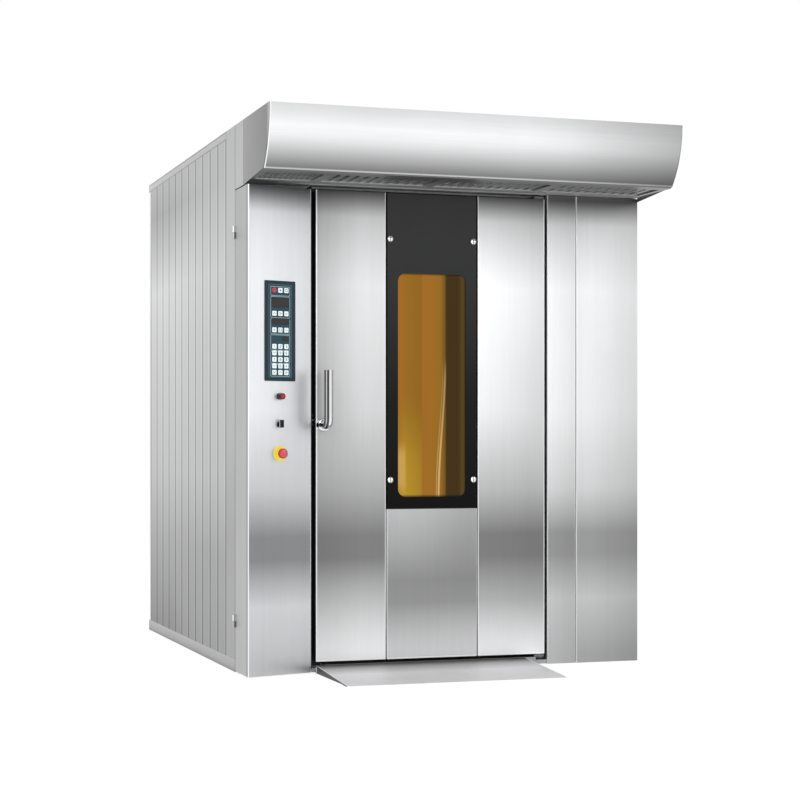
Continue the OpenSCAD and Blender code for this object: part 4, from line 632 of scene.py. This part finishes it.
# %% The amber panes
# the pane is no lamp: its glow paints the light and shade of the chamber seen through it
amber_glass = Finish("amber_glass", Emission_Strength=1.0, Specular_IOR_Level=0.08)
across = (amber_glass.x - WINDOW_LEFT) / (WINDOW_RIGHT - WINDOW_LEFT)
up = (amber_glass.z - WINDOW_LOW) / (WINDOW_HIGH - WINDOW_LOW)
upper, lower = (amber_glass.node("ShaderNodeValToRGB", {"stops": left_half + RIGHT_HALF}, {"Fac": across})
                for left_half in (LEFT_ABOVE, LEFT_BELOW))
view = amber_glass.colour(amber_glass.rise(up, 0.5, 0.04), upper, lower)
# a painted highlight: a soft bright spot low on the left
hot = amber_glass.band(across, 0.03, 0.09, 0.05) * amber_glass.band(up, 0.08, 0.17, 0.09)
view = amber_glass.colour(hot * 0.75, view, shade(206, 166, 92))
# a painted glint: a leaning double line in the lower part of the pane
lean = across - 0.70 + 0.10 * amber_glass.rise(up, 0.62, 0.0)
glint = amber_glass.band(lean, -0.004, 0.012, 0.010) + 0.5 * amber_glass.band(lean, -0.034, -0.026, 0.008)
glint = glint * amber_glass.rise(up, 0.64, 0.5)
glint = glint * (0.45 + 0.4 * amber_glass.rise(up, 0.5, 0.1))
view = amber_glass.colour(glint, view, shade(216, 178, 120))
# painted shade round the pane's edge
rim = amber_glass.band(up, 0.012, 0.99, 0.012) * amber_glass.band(across, 0.012, 0.985, 0.03)
cloud = amber_glass.noise((7, 7, 2.2), 2.0)
view = amber_glass.colour((0.3 + 0.7 * rim) * (0.9 + 0.2 * cloud), BLACK, view)
amber_glass.wear(amber_glass.colour(cloud, shade(3, 2, 1), shade(10, 7, 3)), 0.06 + 0.06 * cloud,
                 cloud, depth=0.0001, strength=0.1, Emission_Color=view)
dress(amber_glass, "window_panes")

# %% [markdown]
# ## Chrome
# The handle, its rosette, the glass caps and the bezels are polished. Polished metal in a white room needs
# something dark to mirror, or it turns to chalk: here the dark flags that a photographer puts beside it are
# painted into the colour as painted reflections. They follow the surface's own direction, so the bar of the
# handle gets a dark line down each side; on the rosette they follow its height.


# %% Polished parts
def polished(name, stops, wet=0.10, which=0):
    chrome = Finish(name, Metallic=0.95)
    turn = chrome.facing()[which]
    mist = chrome.noise((60, 60, 60), 3.0)
    # painted reflections: dark flags and bright light set by the surface's own direction
    tone = chrome.tones(turn, stops) * (0.94 + 0.12 * mist)
    return chrome.wear(chrome.colour(tone, BLACK, (0.98, 0.985, 1, 1)), wet + 0.08 * mist,
                       mist, depth=0.00005, strength=0.1)


handle_chrome = polished("handle_chrome", [
    (-1.0, 90), (-0.84, 85), (-0.8, 190), (-0.64, 200), (-0.6, 80), (-0.2, 75), (-0.1, 235), (0.3, 235),
    (0.42, 165), (1.0, 180)])
cap_chrome = polished("cap_chrome", [
    (-1.0, 90), (-0.55, 250), (-0.2, 250), (-0.1, 100), (0.0, 100), (0.1, 250), (1.0, 120)])
bezel_chrome = polished("bezel_chrome", [
    (-1.0, 60), (-0.7, 90), (-0.45, 250), (0.0, 235), (0.5, 150), (1.0, 240)])

# %% The rosette
rosette_low, rosette_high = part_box("handle_rosette")
rosette_chrome = Finish("rosette_chrome", Metallic=0.95)
height = rosette_chrome.z - (rosette_low.z + rosette_high.z) / 2
mist = rosette_chrome.noise((60, 60, 60), 3.0)
# painted reflections by height: a dark band across the middle, bright bands above and below
tone = rosette_chrome.tones(height, [(-0.03, 150), (-0.02, 250), (-0.01, 240), (-0.006, 60), (0.006, 60),
                                     (0.012, 240), (0.024, 250), (0.03, 150)])
mirror = rosette_chrome.colour(tone, BLACK, (0.98, 0.985, 1, 1))
rosette_chrome.wear(mirror, 0.10 + 0.08 * mist, mist, depth=0.00005, strength=0.1)
dress(handle_chrome, "door_handle")
dress(rosette_chrome, "handle_rosette")
dress(cap_chrome, "glass_caps")
dress(bezel_chrome, "switch_bezels")

# %% [markdown]
# ## The membrane panel and the buttons
# The membrane is a printed film on a raised plate: dark teal with a finer line round its
# fields, white printed keys and one red one. Film is matt with a slight orange-peel. The
# buttons are moulded plastic, glossy where fingers polish them.

# %% Film and plastic
CONTROLS_ACROSS, MEMBRANE_HEIGHT = 0.158, 1.489
BUTTON_HEIGHT, STOP_HEIGHT = 1.207, 0.961


def moulded(name, dark, light, rough=0.4, relief=900, coat=0.0):
    plastic = Finish(name, Coat_Weight=coat)
    skin = plastic.noise((relief, relief, relief), 2.0)
    hand = plastic.noise((30, 30, 30), 3.0)
    return plastic.wear(plastic.colour(hand, dark, light), rough - 0.08 + 0.16 * hand, skin,
                        depth=0.0001, strength=0.2)


# %% The membrane film
film = Finish("membrane_film", Specular_IOR_Level=0.2)
side_on = abs(column_across(film) - CONTROLS_ACROSS)
height_on = abs(film.z - MEMBRANE_HEIGHT)
field = film.rise(side_on, 0.0585, 0.0575) * film.rise(height_on, 0.2005, 0.1995)
inner = film.rise(side_on, 0.0575, 0.0565) * film.rise(height_on, 0.1995, 0.1985)
peel = film.noise((700, 700, 700), 2.0)
print_tone = film.colour(field, shade(18, 38, 48), shade(34, 62, 73))
print_tone = film.colour((field - inner) * 0.6, print_tone, shade(122, 152, 162))
film.wear(film.colour(0.12 * peel, print_tone, shade(90, 118, 128)), 0.36 + 0.12 * peel, peel,
          depth=0.00008, strength=0.25)
dress(film, "membrane_panel")

# %% Keys
keys = Finish("key_film")
red_key = Vector(on_column(CONTROLS_ACROSS - 0.030, 1.664))
from_red = keys.node("ShaderNodeVectorMath", {"operation": "DISTANCE"},
                     {0: keys.place, 1: tuple(red_key)}, "Value")
peel = keys.noise((500, 500, 500), 2.0)
white_key = keys.colour(peel, shade(226, 240, 244), shade(240, 250, 252))
keys.wear(keys.colour(from_red < 0.0135, white_key, shade(196, 62, 84)), 0.38 + 0.1 * peel, peel,
          depth=0.00008, strength=0.25)
dress(keys, "membrane_keys")

# %% Display windows
displays = Finish("display_window", Specular_IOR_Level=0.2)
glow_dots = displays.noise((200, 200, 200), 1.0)
displays.wear(displays.colour(glow_dots, shade(40, 40, 44), shade(62, 56, 58)), 0.12 + 0.1 * glow_dots)
dress(displays, "display_windows")


# %% Buttons and knob
def switch_radius(f, height):
    """How far a point is from the axis of the switch at that height."""
    aside = column_across(f) - CONTROLS_ACROSS
    above = f.z - height
    square = aside * aside + above * above
    return square.math("SQRT", square)


button_red = Finish("button_red", Specular_IOR_Level=0.25)
radius = switch_radius(button_red, BUTTON_HEIGHT)
hand = button_red.noise((300, 300, 300), 2.0)
red = button_red.colour(hand, shade(172, 26, 44), shade(192, 44, 60))
button_red.wear(button_red.colour(button_red.rise(radius, 0.009, 0.011), red, shade(30, 2, 8)),
                0.25 + 0.1 * hand, hand, depth=0.0001, strength=0.15)
stop_red = Finish("stop_red", Coat_Weight=0.3)
radius = switch_radius(stop_red, STOP_HEIGHT)
hand = stop_red.noise((300, 300, 300), 2.0)
red = stop_red.colour(hand, shade(206, 48, 62), shade(224, 70, 84))
stop_red.wear(stop_red.colour(stop_red.rise(radius, 0.0155, 0.0195), red, shade(150, 20, 34)),
              0.25 + 0.1 * hand, hand, depth=0.0001, strength=0.15)
dress(moulded("ring_yellow", shade(238, 222, 64), shade(248, 236, 96), 0.42), "stop_ring")
dress(button_red, "start_button")
dress(stop_red, "stop_button")

knob = Finish("selector_black", Specular_IOR_Level=0.2)
ridge = knob.noise((500, 500, 80), 2.0)
aside = column_across(knob) - CONTROLS_ACROSS
cheek = knob.band(abs(aside), 0.0046, 0.0072, 0.0006)
knob.wear(knob.colour(cheek, shade(8, 8, 9), shade(236, 238, 240)), 0.4 + 0.15 * ridge, ridge,
          depth=0.0002, strength=0.3)
dress(knob, "selector_knob")

# %% [markdown]
# ## Dark frame, hinges and seals
# Behind the bright panels the front wall's frame and the door's leaf are steel darkened as painted shade,
# so the gaps read as black lines. The gasket is black silicone, matt and a little dusty where it folds.


# %% Dark parts
def worn_metal(name, dark, light, metallic=0.8, rough=0.45, size=14, relief=0.0003):
    metal = Finish(name, Metallic=metallic)
    cloud = metal.noise((size, size, size), 5.0)
    pits = metal.noise((size * 22, size * 22, size * 22), 2.0)
    return metal.wear(metal.colour(0.7 * cloud + 0.3 * pits, dark, light), rough - 0.12 + 0.24 * cloud,
                      pits, depth=relief, strength=0.3)


# frame_steel and leaf_steel are darkened as painted shade, so the seams read black
dress(worn_metal("frame_steel", shade(34, 34, 36), shade(62, 63, 66), 0.6, 0.5), "door_frame")
dress(worn_metal("leaf_steel", shade(40, 41, 43), shade(78, 79, 82), 0.7, 0.45), "door_leaf")
dress(worn_metal("hinge_dark_steel", shade(84, 85, 88), shade(128, 129, 132), 0.85, 0.38), "door_hinges")
dress(worn_metal("hinge_steel", shade(138, 140, 142), shade(196, 198, 200), 0.9, 0.3, 40), "control_hinges")
dress(worn_metal("zinc_feet", shade(96, 98, 100), shade(150, 152, 150), 0.8, 0.4, 30), "levelling_feet")
dress(worn_metal("latch_steel", shade(150, 152, 155), shade(206, 208, 210), 0.95, 0.22, 60), "latch_bolt")

# %% The gasket
silicone = Finish("black_silicone", Specular_IOR_Level=0.3)
dust = silicone.noise((35, 35, 35), 5.0)
rib = silicone.noise((600, 600, 600), 2.0)
silicone.wear(silicone.colour(silicone.rise(dust, 0.5, 0.8) * 0.5, shade(22, 22, 23), shade(92, 90, 86)),
              0.55 + 0.25 * dust, rib, depth=0.0002, strength=0.3)
dress(silicone, "door_gasket")

# %% [markdown]
# ## Inside the cabin
# The chamber is plain stainless that has been hot for years. Steel takes a straw tint at
# baking heat, deeper near the heaters, and steam leaves brown runs below every slot.
# These parts show when the door is open, so they get the same care as the outside.


# %% Heat-tinted sheet
def baked(name, level=188, grain="z", metallic=0.8, hot_x=(-0.8, 1.0)):
    sheet = Finish(name, Metallic=metallic)
    fine = sheet.noise(GRAIN[grain], 3.0)
    cloud = sheet.noise((3.5, 3.5, 2.0), 4.0)
    runs = sheet.noise((22, 22, 1.6), 4.0)
    heat = sheet.rise(sheet.x + 0.5 * cloud, hot_x[0] + 0.25, hot_x[1])
    tone = linear(level) * (1 + 0.14 * (fine - 0.5) + 0.4 * (cloud - 0.5))
    tint = sheet.colour(heat * 0.85, (0.98, 0.97, 0.95, 1), (0.86, 0.68, 0.40, 1))
    clean = sheet.node("ShaderNodeMix", {"data_type": "RGBA", "blend_type": "MULTIPLY"},
                       {"Factor_Float": 1.0, "A_Color": tint,
                        "B_Color": sheet.colour(tone, BLACK, (1, 1, 1, 1))}, "Result_Color")
    stain = sheet.rise(runs, 0.56, 0.78) * 0.55
    return sheet.wear(sheet.colour(stain, clean, shade(92, 62, 34)), 0.3 + 0.2 * cloud + 0.25 * stain,
                      fine, depth=0.0002, strength=0.25)


dress(baked("liner_steel"), "chamber_liner")
dress(baked("air_wall_steel", 180), "air_wall")
dress(baked("shutter_steel", 165), "air_shutter")
dress(baked("deck_steel", 170, "x"), "fan_deck")
dress(baked("wheel_steel", 176, "x"), "fan_wheel")
dress(baked("fork_steel", 186, "x"), "rack_fork")
dress(baked("inner_panel_steel", 200), "door_inner_panel")

# %% [markdown]
# ## The turntable, the floor and the ramp
# The turntable was ground on a lathe-like machine, so its grain runs in circles, and the trolley's castors
# have worn two brighter tracks. The ramp is scuffed by every trolley that rolls over it; at its top the
# shadow of the door is painted on, its sides get painted shade, and a painted highlight runs along its two
# ends.

# %% The turntable
plate = Finish("turntable_plate", Metallic=0.8)
low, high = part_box("turntable")
aside, behind = plate.x - (low.x + high.x) / 2, plate.y - (low.y + high.y) / 2
radius = aside * aside + behind * behind
radius = radius.math("SQRT", radius)
rings = plate.node("ShaderNodeTexNoise", {"noise_dimensions": "1D"},
                   {"W": radius * 900, "Scale": 1.0, "Detail": 3.0})
cloud = plate.noise((6, 6, 6), 4.0)
tracks = plate.band(abs(aside), 0.31, 0.35, 0.02)
tone = linear(165) * (0.8 + 0.3 * rings + 0.35 * tracks + 0.3 * (cloud - 0.5))
plate.wear(plate.colour(tone, BLACK, (0.97, 0.95, 0.92, 1)), 0.34 + 0.2 * cloud - 0.12 * tracks, rings,
           depth=0.0002, strength=0.3)
dress(plate, "turntable")


# %% Floor and ramp
def scuffed(name, level, grain="y", dirt=0.35, scratches=0.25):
    sheet = Finish(name, Metallic=0.75)
    fine = sheet.noise(GRAIN[grain], 3.0)
    cloud = sheet.noise((8, 8, 8), 5.0)
    scratch = sheet.noise((30, 3, 30), 6.0)
    tone = level(sheet) * (1 + 0.1 * (fine - 0.5) + 0.14 * (cloud - 0.5)
                           + scratches * sheet.rise(scratch, 0.62, 0.7))
    grime = sheet.rise(cloud, 0.56, 0.8) * dirt
    return sheet.wear(sheet.colour(grime, sheet.colour(tone, BLACK, (0.99, 0.99, 1, 1)), shade(96, 86, 74)),
                      0.36 + 0.2 * cloud, 0.6 * fine + 0.4 * scratch, depth=0.0003, strength=0.3)


def ramp_tone(f):
    """Painted shadow of the door at its top, painted shade on its sides, painted highlights along its rims.
    """
    top = f.tones(f.y, [(-1.36, 245), (-1.1, 240), (-0.97, 175), (-0.92, 110), (-0.87, 90)])
    highlit_edges = [f.band(abs(f.x - x), 0.0, 0.004, 0.003) for x in (RAMP_LOW.x, RAMP_HIGH.x)]
    top = top + 0.8 * (highlit_edges[0] + highlit_edges[1]) * (linear(248) - top)
    return top + f.rise(abs(f.facing()[0]), 0.5, 0.8) * (linear(62) - top)


RAMP_LOW, RAMP_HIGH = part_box("ramp")
dress(scuffed("ramp_steel", ramp_tone, dirt=0.05, scratches=0.04), "ramp")
pan_steel = scuffed("floor_pan_steel", lambda f: f.tones(f.y, [
    (-0.9, 150), (0.0, 170), (1.2, 140)]), dirt=0.5)
dress(scuffed("channel_steel", lambda f: f.tones(f.z, [(0.03, 140), (0.08, 190)])), "wheel_channels")
dress(pan_steel, "floor_pan")

# %% [markdown]
# ## Hidden builders' parts
# Frame bars and roof are galvanised: zinc crystals show as a patchwork of flat greys.
# Voronoi cells give exactly that. The boards of mineral wool are felted fibres, pressed
# flat, and the bearing is dull bronze.


# %% Galvanised sheet
def galvanised(name, dark, light, size=55):
    zinc = Finish(name, Metallic=0.7)
    crystal = zinc.parts(zinc.cells(size, "Color"))[0]
    cloud = zinc.noise((4, 4, 4), 5.0)
    dust = zinc.rise(cloud, 0.45, 0.75) * 0.35
    sheet = zinc.colour(0.6 * crystal + 0.4 * cloud, dark, light)
    return zinc.wear(zinc.colour(dust, sheet, shade(150, 146, 138)), 0.34 + 0.22 * crystal, crystal,
                     depth=0.0001, strength=0.2)


dress(galvanised("galvanised_bars", shade(118, 122, 126), shade(168, 172, 176)), "base_frame")
dress(galvanised("galvanised_roof", shade(132, 136, 140), shade(176, 180, 184), 38), "roof_panel")
dress(galvanised("galvanised_box", shade(142, 146, 150), shade(186, 190, 194), 60), "hood_fan_box")

# %% Wool and bronze
wool = Finish("mineral_wool", Specular_IOR_Level=0.1)
fibres = wool.noise((180, 180, 25), 6.0)
lumps = wool.noise((14, 14, 14), 5.0)
front_cloth = wool.rise(wool.y, -0.70, -0.72)
felt = wool.colour(0.5 * fibres + 0.5 * lumps, shade(150, 128, 70), shade(214, 196, 140))
wool.wear(wool.colour(front_cloth, felt, shade(214, 215, 216)),
          0.9 + 0.1 * fibres, 0.6 * fibres + 0.4 * lumps, depth=0.002, strength=0.6)
dress(wool, "wall_insulation")

cloth = Finish("black_faced_wool", Specular_IOR_Level=0.1)
weave = cloth.noise((420, 420, 420), 2.0)
cloth.wear(cloth.colour(weave, shade(14, 14, 15), shade(34, 34, 36)), 0.85 + 0.1 * weave, weave,
           depth=0.0005, strength=0.4)
dress(cloth, "door_insulation")

bronze = worn_metal("bearing_bronze", shade(132, 96, 48), shade(196, 156, 88), 0.9, 0.36, 40)
dress(bronze, "turntable_bearing")

# %% [markdown]
# ## Machines on the roof and behind the chamber
# The motors are painted castings, the heater rods carry a brown scale, the steam bars
# are rusty cast iron, and the pipes are plain stainless. Cast iron gets two sizes of
# noise: rust in patches, and the grit of the mould all over.


# %% Painted castings
def painted(name, dark, light, rough=0.42, relief=260):
    paint = Finish(name, Coat_Weight=0.15, Coat_Roughness=0.2)
    cloud = paint.noise((9, 9, 9), 5.0)
    peel = paint.noise((relief, relief, relief), 2.0)
    grime = paint.rise(cloud, 0.52, 0.8) * 0.35
    return paint.wear(paint.colour(grime, paint.colour(peel, dark, light), shade(70, 66, 60)),
                      rough - 0.1 + 0.25 * cloud, peel, depth=0.0004, strength=0.3)


dress(painted("drive_paint", shade(58, 82, 104), shade(74, 98, 120)), "drive_gearmotor", "fan_motor")
dress(painted("cabinet_paint", shade(186, 188, 190), shade(204, 206, 208), 0.4, 420), "control_cabinet")

# %% Heaters, iron and pipes
rods = Finish("heater_scale", Metallic=0.45)
scale = rods.noise((26, 26, 26), 6.0)
brown = rods.node("ShaderNodeValToRGB", {"stops": [
    (0.3, shade(62, 54, 50)), (0.5, shade(104, 88, 76)), (0.7, shade(140, 112, 84))]}, {"Fac": scale})
cover = rods.colour(scale, shade(150, 154, 158), shade(182, 186, 190))
rods.wear(rods.colour(rods.z > 2.25, brown, cover), 0.42 + 0.3 * scale, scale, depth=0.0004, strength=0.4)
dress(rods, "heater_bank")

iron = Finish("cast_iron", Metallic=0.35)
rust = iron.rise(iron.noise((12, 12, 12), 6.0), 0.48, 0.66)
grit = iron.noise((420, 420, 420), 3.0)
bare = iron.colour(grit, shade(54, 54, 56), shade(88, 86, 84))
iron.wear(iron.colour(rust * 0.75, bare, shade(122, 74, 42)), 0.55 + 0.3 * rust, grit,
          depth=0.0006, strength=0.5)
dress(iron, "steam_generator")

dress(worn_metal("pipe_steel", shade(150, 152, 154), shade(202, 204, 206), 0.9, 0.3, 24), "water_pipes")
flue_steel = worn_metal("flue_steel", shade(140, 141, 142), shade(192, 190, 186), 0.85, 0.36, 16)
dress(moulded("fan_plastic", shade(28, 28, 30), shade(42, 42, 44), 0.5), "hood_fan_wheel")
dress(flue_steel, "flue_pipe", "flue_damper")

# %% Lamps
lamp_glass = Finish("lamp_glass", Emission_Strength=0.9, Coat_Weight=0.5)
frost = lamp_glass.noise((40, 40, 10), 3.0)
in_tube = lamp_glass.band(lamp_glass.z, 0.55, 1.59, 0.01)
tube = lamp_glass.colour(in_tube, shade(150, 148, 144), shade(252, 232, 190))
filament = lamp_glass.colour(in_tube * (0.8 + 0.3 * frost), BLACK, shade(255, 214, 140))
lamp_glass.wear(tube, 0.15 + 0.1 * frost, Emission_Color=filament)
dress(lamp_glass, "chamber_lamps")

# %% The switchgear
gear = Finish("switchgear_plastic")
# the devices of each row, from the foot: how high their colour reaches, and the colour
ROW_COLOURS = [(0.44, (188, 186, 172)), (0.82, (206, 208, 210)), (1.16, (58, 70, 88)),
               (1.52, (70, 72, 76)), (2.0, (214, 214, 212))]
steps, foot = [], 0.0
for reach, paint in ROW_COLOURS:
    steps += [(foot / 2, shade(*paint)), (reach / 2, shade(*paint))]
    foot = reach + 0.02
kinds = gear.node("ShaderNodeValToRGB", {"stops": steps}, {"Fac": gear.z / 2})
pitch = gear.z * 22.2 - 0.3
module = pitch.math("FRACT", pitch)
stripe = gear.band(module, 0.42, 0.58, 0.02) * (gear.z > 1.6)
device = gear.colour(stripe * 0.8, kinds, shade(60, 62, 66))
skin = gear.noise((300, 300, 300), 2.0)
rail = gear.colour(skin, shade(150, 154, 158), shade(196, 199, 202))
gear.wear(gear.colour(gear.y < -0.7912, rail, device), 0.4 + 0.15 * skin, skin, depth=0.0002, strength=0.2)
dress(gear, "switchgear")
print("still bare:", sorted(undressed))

# %% [markdown]
# ## Small pieces in mesh code
# The last part adds what the solid model leaves out. Each piece is drawn with bmesh,
# straight in the oven's own frame, and rides on the body that carries it.


# %% Helpers for pieces
def make(name, mesh_maker, finish, body):
    """Builds a mesh piece with mesh_maker(bm) and lets it ride on a body."""
    bm = bmesh.new()
    mesh_maker(bm)
    bmesh.ops.recalc_face_normals(bm, faces=bm.faces)
    mesh = bpy.data.meshes.new(name)
    bm.to_mesh(mesh)
    bm.free()
    piece = bpy.data.objects.new(name, mesh)
    bpy.context.scene.collection.objects.link(piece)
    mesh.materials.append(finish.material)
    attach(piece, body)
    print(name, len(mesh.polygons), "faces")
    return piece


def prism(bm, outline, lift):
    """A flat outline of points, thickened by lift (a vector)."""
    low = [bm.verts.new(p) for p in outline]
    high = [bm.verts.new(Vector(p) + lift) for p in outline]
    bm.faces.new(low)
    bm.faces.new(high[::-1])
    for i in range(len(low)):
        j = (i + 1) % len(low)
        bm.faces.new((low[i], high[i], high[j], low[j]))


# %% [markdown]
# ## Symbols on the keys
# Each key of the panel has a small printed sign. They are plain digits made of straight
# strokes, with plus, minus, arrows and a ring and bar for on and off, raised a tenth of
# a millimetre like thick ink.

# %% Draw the signs
KEY_FACE, FILM_FACE = 0.0051, 0.0034
INK = COLUMN_OUT * 0.00012
# each sign is a row of strokes, and each stroke runs through its points x, z, x, z ...
STROKES = {
    "1": [(0, -3, 0, 3), (-1, 2, 0, 3)], "2": [(-2, 3, 2, 3, 2, 0, -2, 0, -2, -3, 2, -3)],
    "3": [(-2, 3, 2, 3, 2, -3, -2, -3), (-1, 0, 2, 0)], "4": [(-2, 3, -2, 0, 2, 0), (2, 3, 2, -3)],
    "5": [(2, 3, -2, 3, -2, 0, 2, 0, 2, -3, -2, -3)], "6": [(2, 3, -2, 3, -2, -3, 2, -3, 2, 0, -2, 0)],
    "7": [(-2, 3, 2, 3, 0, -3)], "8": [(-2, 0, 2, 0), (-2, 3, 2, 3, 2, -3, -2, -3, -2, 3)],
    "9": [(-2, -3, 2, -3, 2, 3, -2, 3, -2, 0, 2, 0)], "0": [(-2, 3, 2, 3, 2, -3, -2, -3, -2, 3)],
    "+": [(-3, 0, 3, 0), (0, -3, 0, 3)], "-": [(-3, 0, 3, 0)],
    "up": [(-3, -1, 0, 2.5, 3, -1)], "down": [(-3, 1, 0, -2.5, 3, 1)],
    "box": [(-3, 3, 3, 3, 3, -3, -3, -3, -3, 3)], "cross": [(-3, -3, 3, 3), (-3, 3, 3, -3)],
    "bar": [(0, 1, 0, 4)], "play": [(3, 0, -2, 3, -2, -3, 3, 0)],
    "star": [(-3, 0, 3, 0), (-1.5, -2.6, 1.5, 2.6), (-1.5, 2.6, 1.5, -2.6)],
}
GROUPS = [(1.640, 1.680), (1.545, 1.637), (1.475, 1.542), (1.405, 1.472), (1.349, 1.402), (1.293, 1.346)]
KEY_ROWS = [(1.664, "power star box"), (1.564, "up play down"), (1.493, "+ box -"), (1.422, "1 2 3"),
            (1.394, "4 5 6"), (1.366, "7 8 9"), (1.338, "- 0 +"), (1.310, "cross up play")]
SIGN_SCALE, RING_RADIUS, RING_STEPS = 1.6, 5.6, 14
print(len(STROKES), "signs for", len(KEY_ROWS), "rows of keys")


# %% Print the symbols
def key_symbols(bm):
    def stroke(across, height, x0, z0, x1, z1, width=1.5):
        run = Vector((x1 - x0, z1 - z0)).normalized() * width / 2
        side = Vector((-run.y, run.x))
        highlit_edges = [(x0 - run.x + side.x, z0 - run.y + side.y), (x1 + run.x + side.x, z1 + run.y + side.y),
                (x1 + run.x - side.x, z1 + run.y - side.y), (x0 - run.x - side.x, z0 - run.y - side.y)]
        prism(bm, [on_column(across + x / 1000, height + z / 1000, KEY_FACE) for x, z in highlit_edges], INK)

    for height, names in KEY_ROWS:
        for place, name in zip((-0.030, 0.0, 0.030), names.split()):
            middle = CONTROLS_ACROSS + place
            if name == "power":
                name = "bar"
                ring = [math.radians(120 + 300 * k / RING_STEPS) for k in range(RING_STEPS + 1)]
                ring = [(RING_RADIUS * math.cos(a), RING_RADIUS * math.sin(a)) for a in ring]
                for start, end in zip(ring, ring[1:]):
                    stroke(middle, height, *start, *end, 1.2)
            for line in STROKES[name]:
                for i in range(0, len(line) - 2, 2):
                    stroke(middle, height, *(SIGN_SCALE * v for v in line[i:i + 4]))


def group_lines(bm):
    """A thin rounded line round each group of keys and its display."""
    half, turn, width = 0.0485, 0.005, 0.0013
    for low, high in GROUPS:
        corners = [(half, high, 0), (-half, high, 90), (-half, low, 180), (half, low, 270)]
        path = []
        for across, height, start in corners:
            centre = (across - math.copysign(turn, across), height - (turn if height == high else -turn))
            for k in range(5):
                angle = math.radians(start + 22.5 * k)
                path.append((centre, Vector((math.cos(angle), math.sin(angle)))))
        outer, inner = ([bm.verts.new(
            on_column(CONTROLS_ACROSS + c[0] + n.x * r, c[1] + n.y * r, FILM_FACE) + INK)
            for c, n in path] for r in (turn, turn - width))
        for i in range(len(path)):
            j = (i + 1) % len(path)
            bm.faces.new((outer[i], outer[j], inner[j], inner[i]))


ink = moulded("key_ink", shade(16, 24, 30), shade(26, 36, 42), 0.5)
make("key_symbols", key_symbols, ink, "cover")
pale_ink = moulded("pale_ink", shade(176, 206, 214), shade(196, 222, 228), 0.5)
make("group_lines", group_lines, pale_ink, "cover")

# %% [markdown]
# ## Wires in the switch cabinet
# Behind the column's cover the devices are wired in single cores, black, blue and red.
# Each core leaves a device, bends back to the mounting plate and runs down to the next
# row. A core is a round wire swept along a path with rounded corners.


# %% Sweep a wire
def sweep(bm, path, radius, sides=6):
    """A round wire along a list of points."""
    rings = []
    for i, point in enumerate(path):
        ahead = Vector(path[min(i + 1, len(path) - 1)]) - Vector(path[max(i - 1, 0)])
        turn = ahead.to_track_quat("Z", "Y").to_matrix()
        rings.append([bm.verts.new(Vector(point) + turn @ Vector(
            (radius * math.cos(math.tau * k / sides), radius * math.sin(math.tau * k / sides), 0)))
            for k in range(sides)])
    for a, b in zip(rings, rings[1:]):
        for k in range(sides):
            bm.faces.new((a[k], a[(k + 1) % sides], b[(k + 1) % sides], b[k]))
    bm.faces.new(rings[0][::-1])
    bm.faces.new(rings[-1])


def bent(points, radius, steps=4):
    """A path through points, with each inner corner rounded."""
    path = [Vector(points[0])]
    for before, corner, after in zip(points, points[1:], points[2:]):
        before, corner, after = Vector(before), Vector(corner), Vector(after)
        start = corner + (before - corner).normalized() * radius
        end = corner + (after - corner).normalized() * radius
        for i in range(steps + 1):
            t = i / steps
            path.append(start * (1 - t) ** 2 + corner * 2 * t * (1 - t) + end * t * t)
    return path + [Vector(points[-1])]


print("a wire has 6 sides and rounded corners")

# %% Wire the cabinet
gear_low, gear_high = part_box("switchgear")
PLATE_FRONT, DEVICE_MIDDLE, CORE = gear_high.y - 0.0030, gear_high.y - 0.026, 0.0014
# the height a core leaves, the height it reaches, and how many devices are at each end
RUNS = [(1.657, 1.423, 4, 6), (1.337, 1.110, 6, 4), (0.930, 0.763, 4, 4), (0.677, 0.445, 4, 8)]


def cores(which):
    """Every third core; which of the three is counted from 0."""
    def draw(bm):
        number, start = 0, gear_low.x + 0.025
        width = gear_high.x - gear_low.x - 0.05
        for top, end, starts, goals in RUNS:
            count = max(starts, goals)
            for i in range(count):
                number += 1
                if number % 3 != which:
                    continue
                x0 = start + width * (i * starts // count + 0.3 + 0.06 * (i % 3)) / starts
                x1 = start + width * (i * goals // count + 0.4) / goals
                back = PLATE_FRONT - CORE * (2 + 2.2 * (i % 3))
                turn = top - 0.030 - 0.009 * (i % 4)
                route = [(x0, DEVICE_MIDDLE, top - 0.001), (x0, DEVICE_MIDDLE, turn + 0.006),
                         (x0, back, turn - 0.008), (x1, back, turn - 0.030), (x1, back, end + 0.026),
                         (x1, DEVICE_MIDDLE, end + 0.014), (x1, DEVICE_MIDDLE, end + 0.001)]
                sweep(bm, bent(route, 0.006), CORE)
    return draw


for which, (name, dark, light) in enumerate([("black_cores", (24, 24, 26), (36, 36, 38)),
                                             ("blue_cores", (30, 62, 130), (44, 80, 152)),
                                             ("red_cores", (150, 28, 26), (176, 40, 34))]):
    make(name, cores(which), moulded(name, shade(*dark), shade(*light), 0.45), "oven")
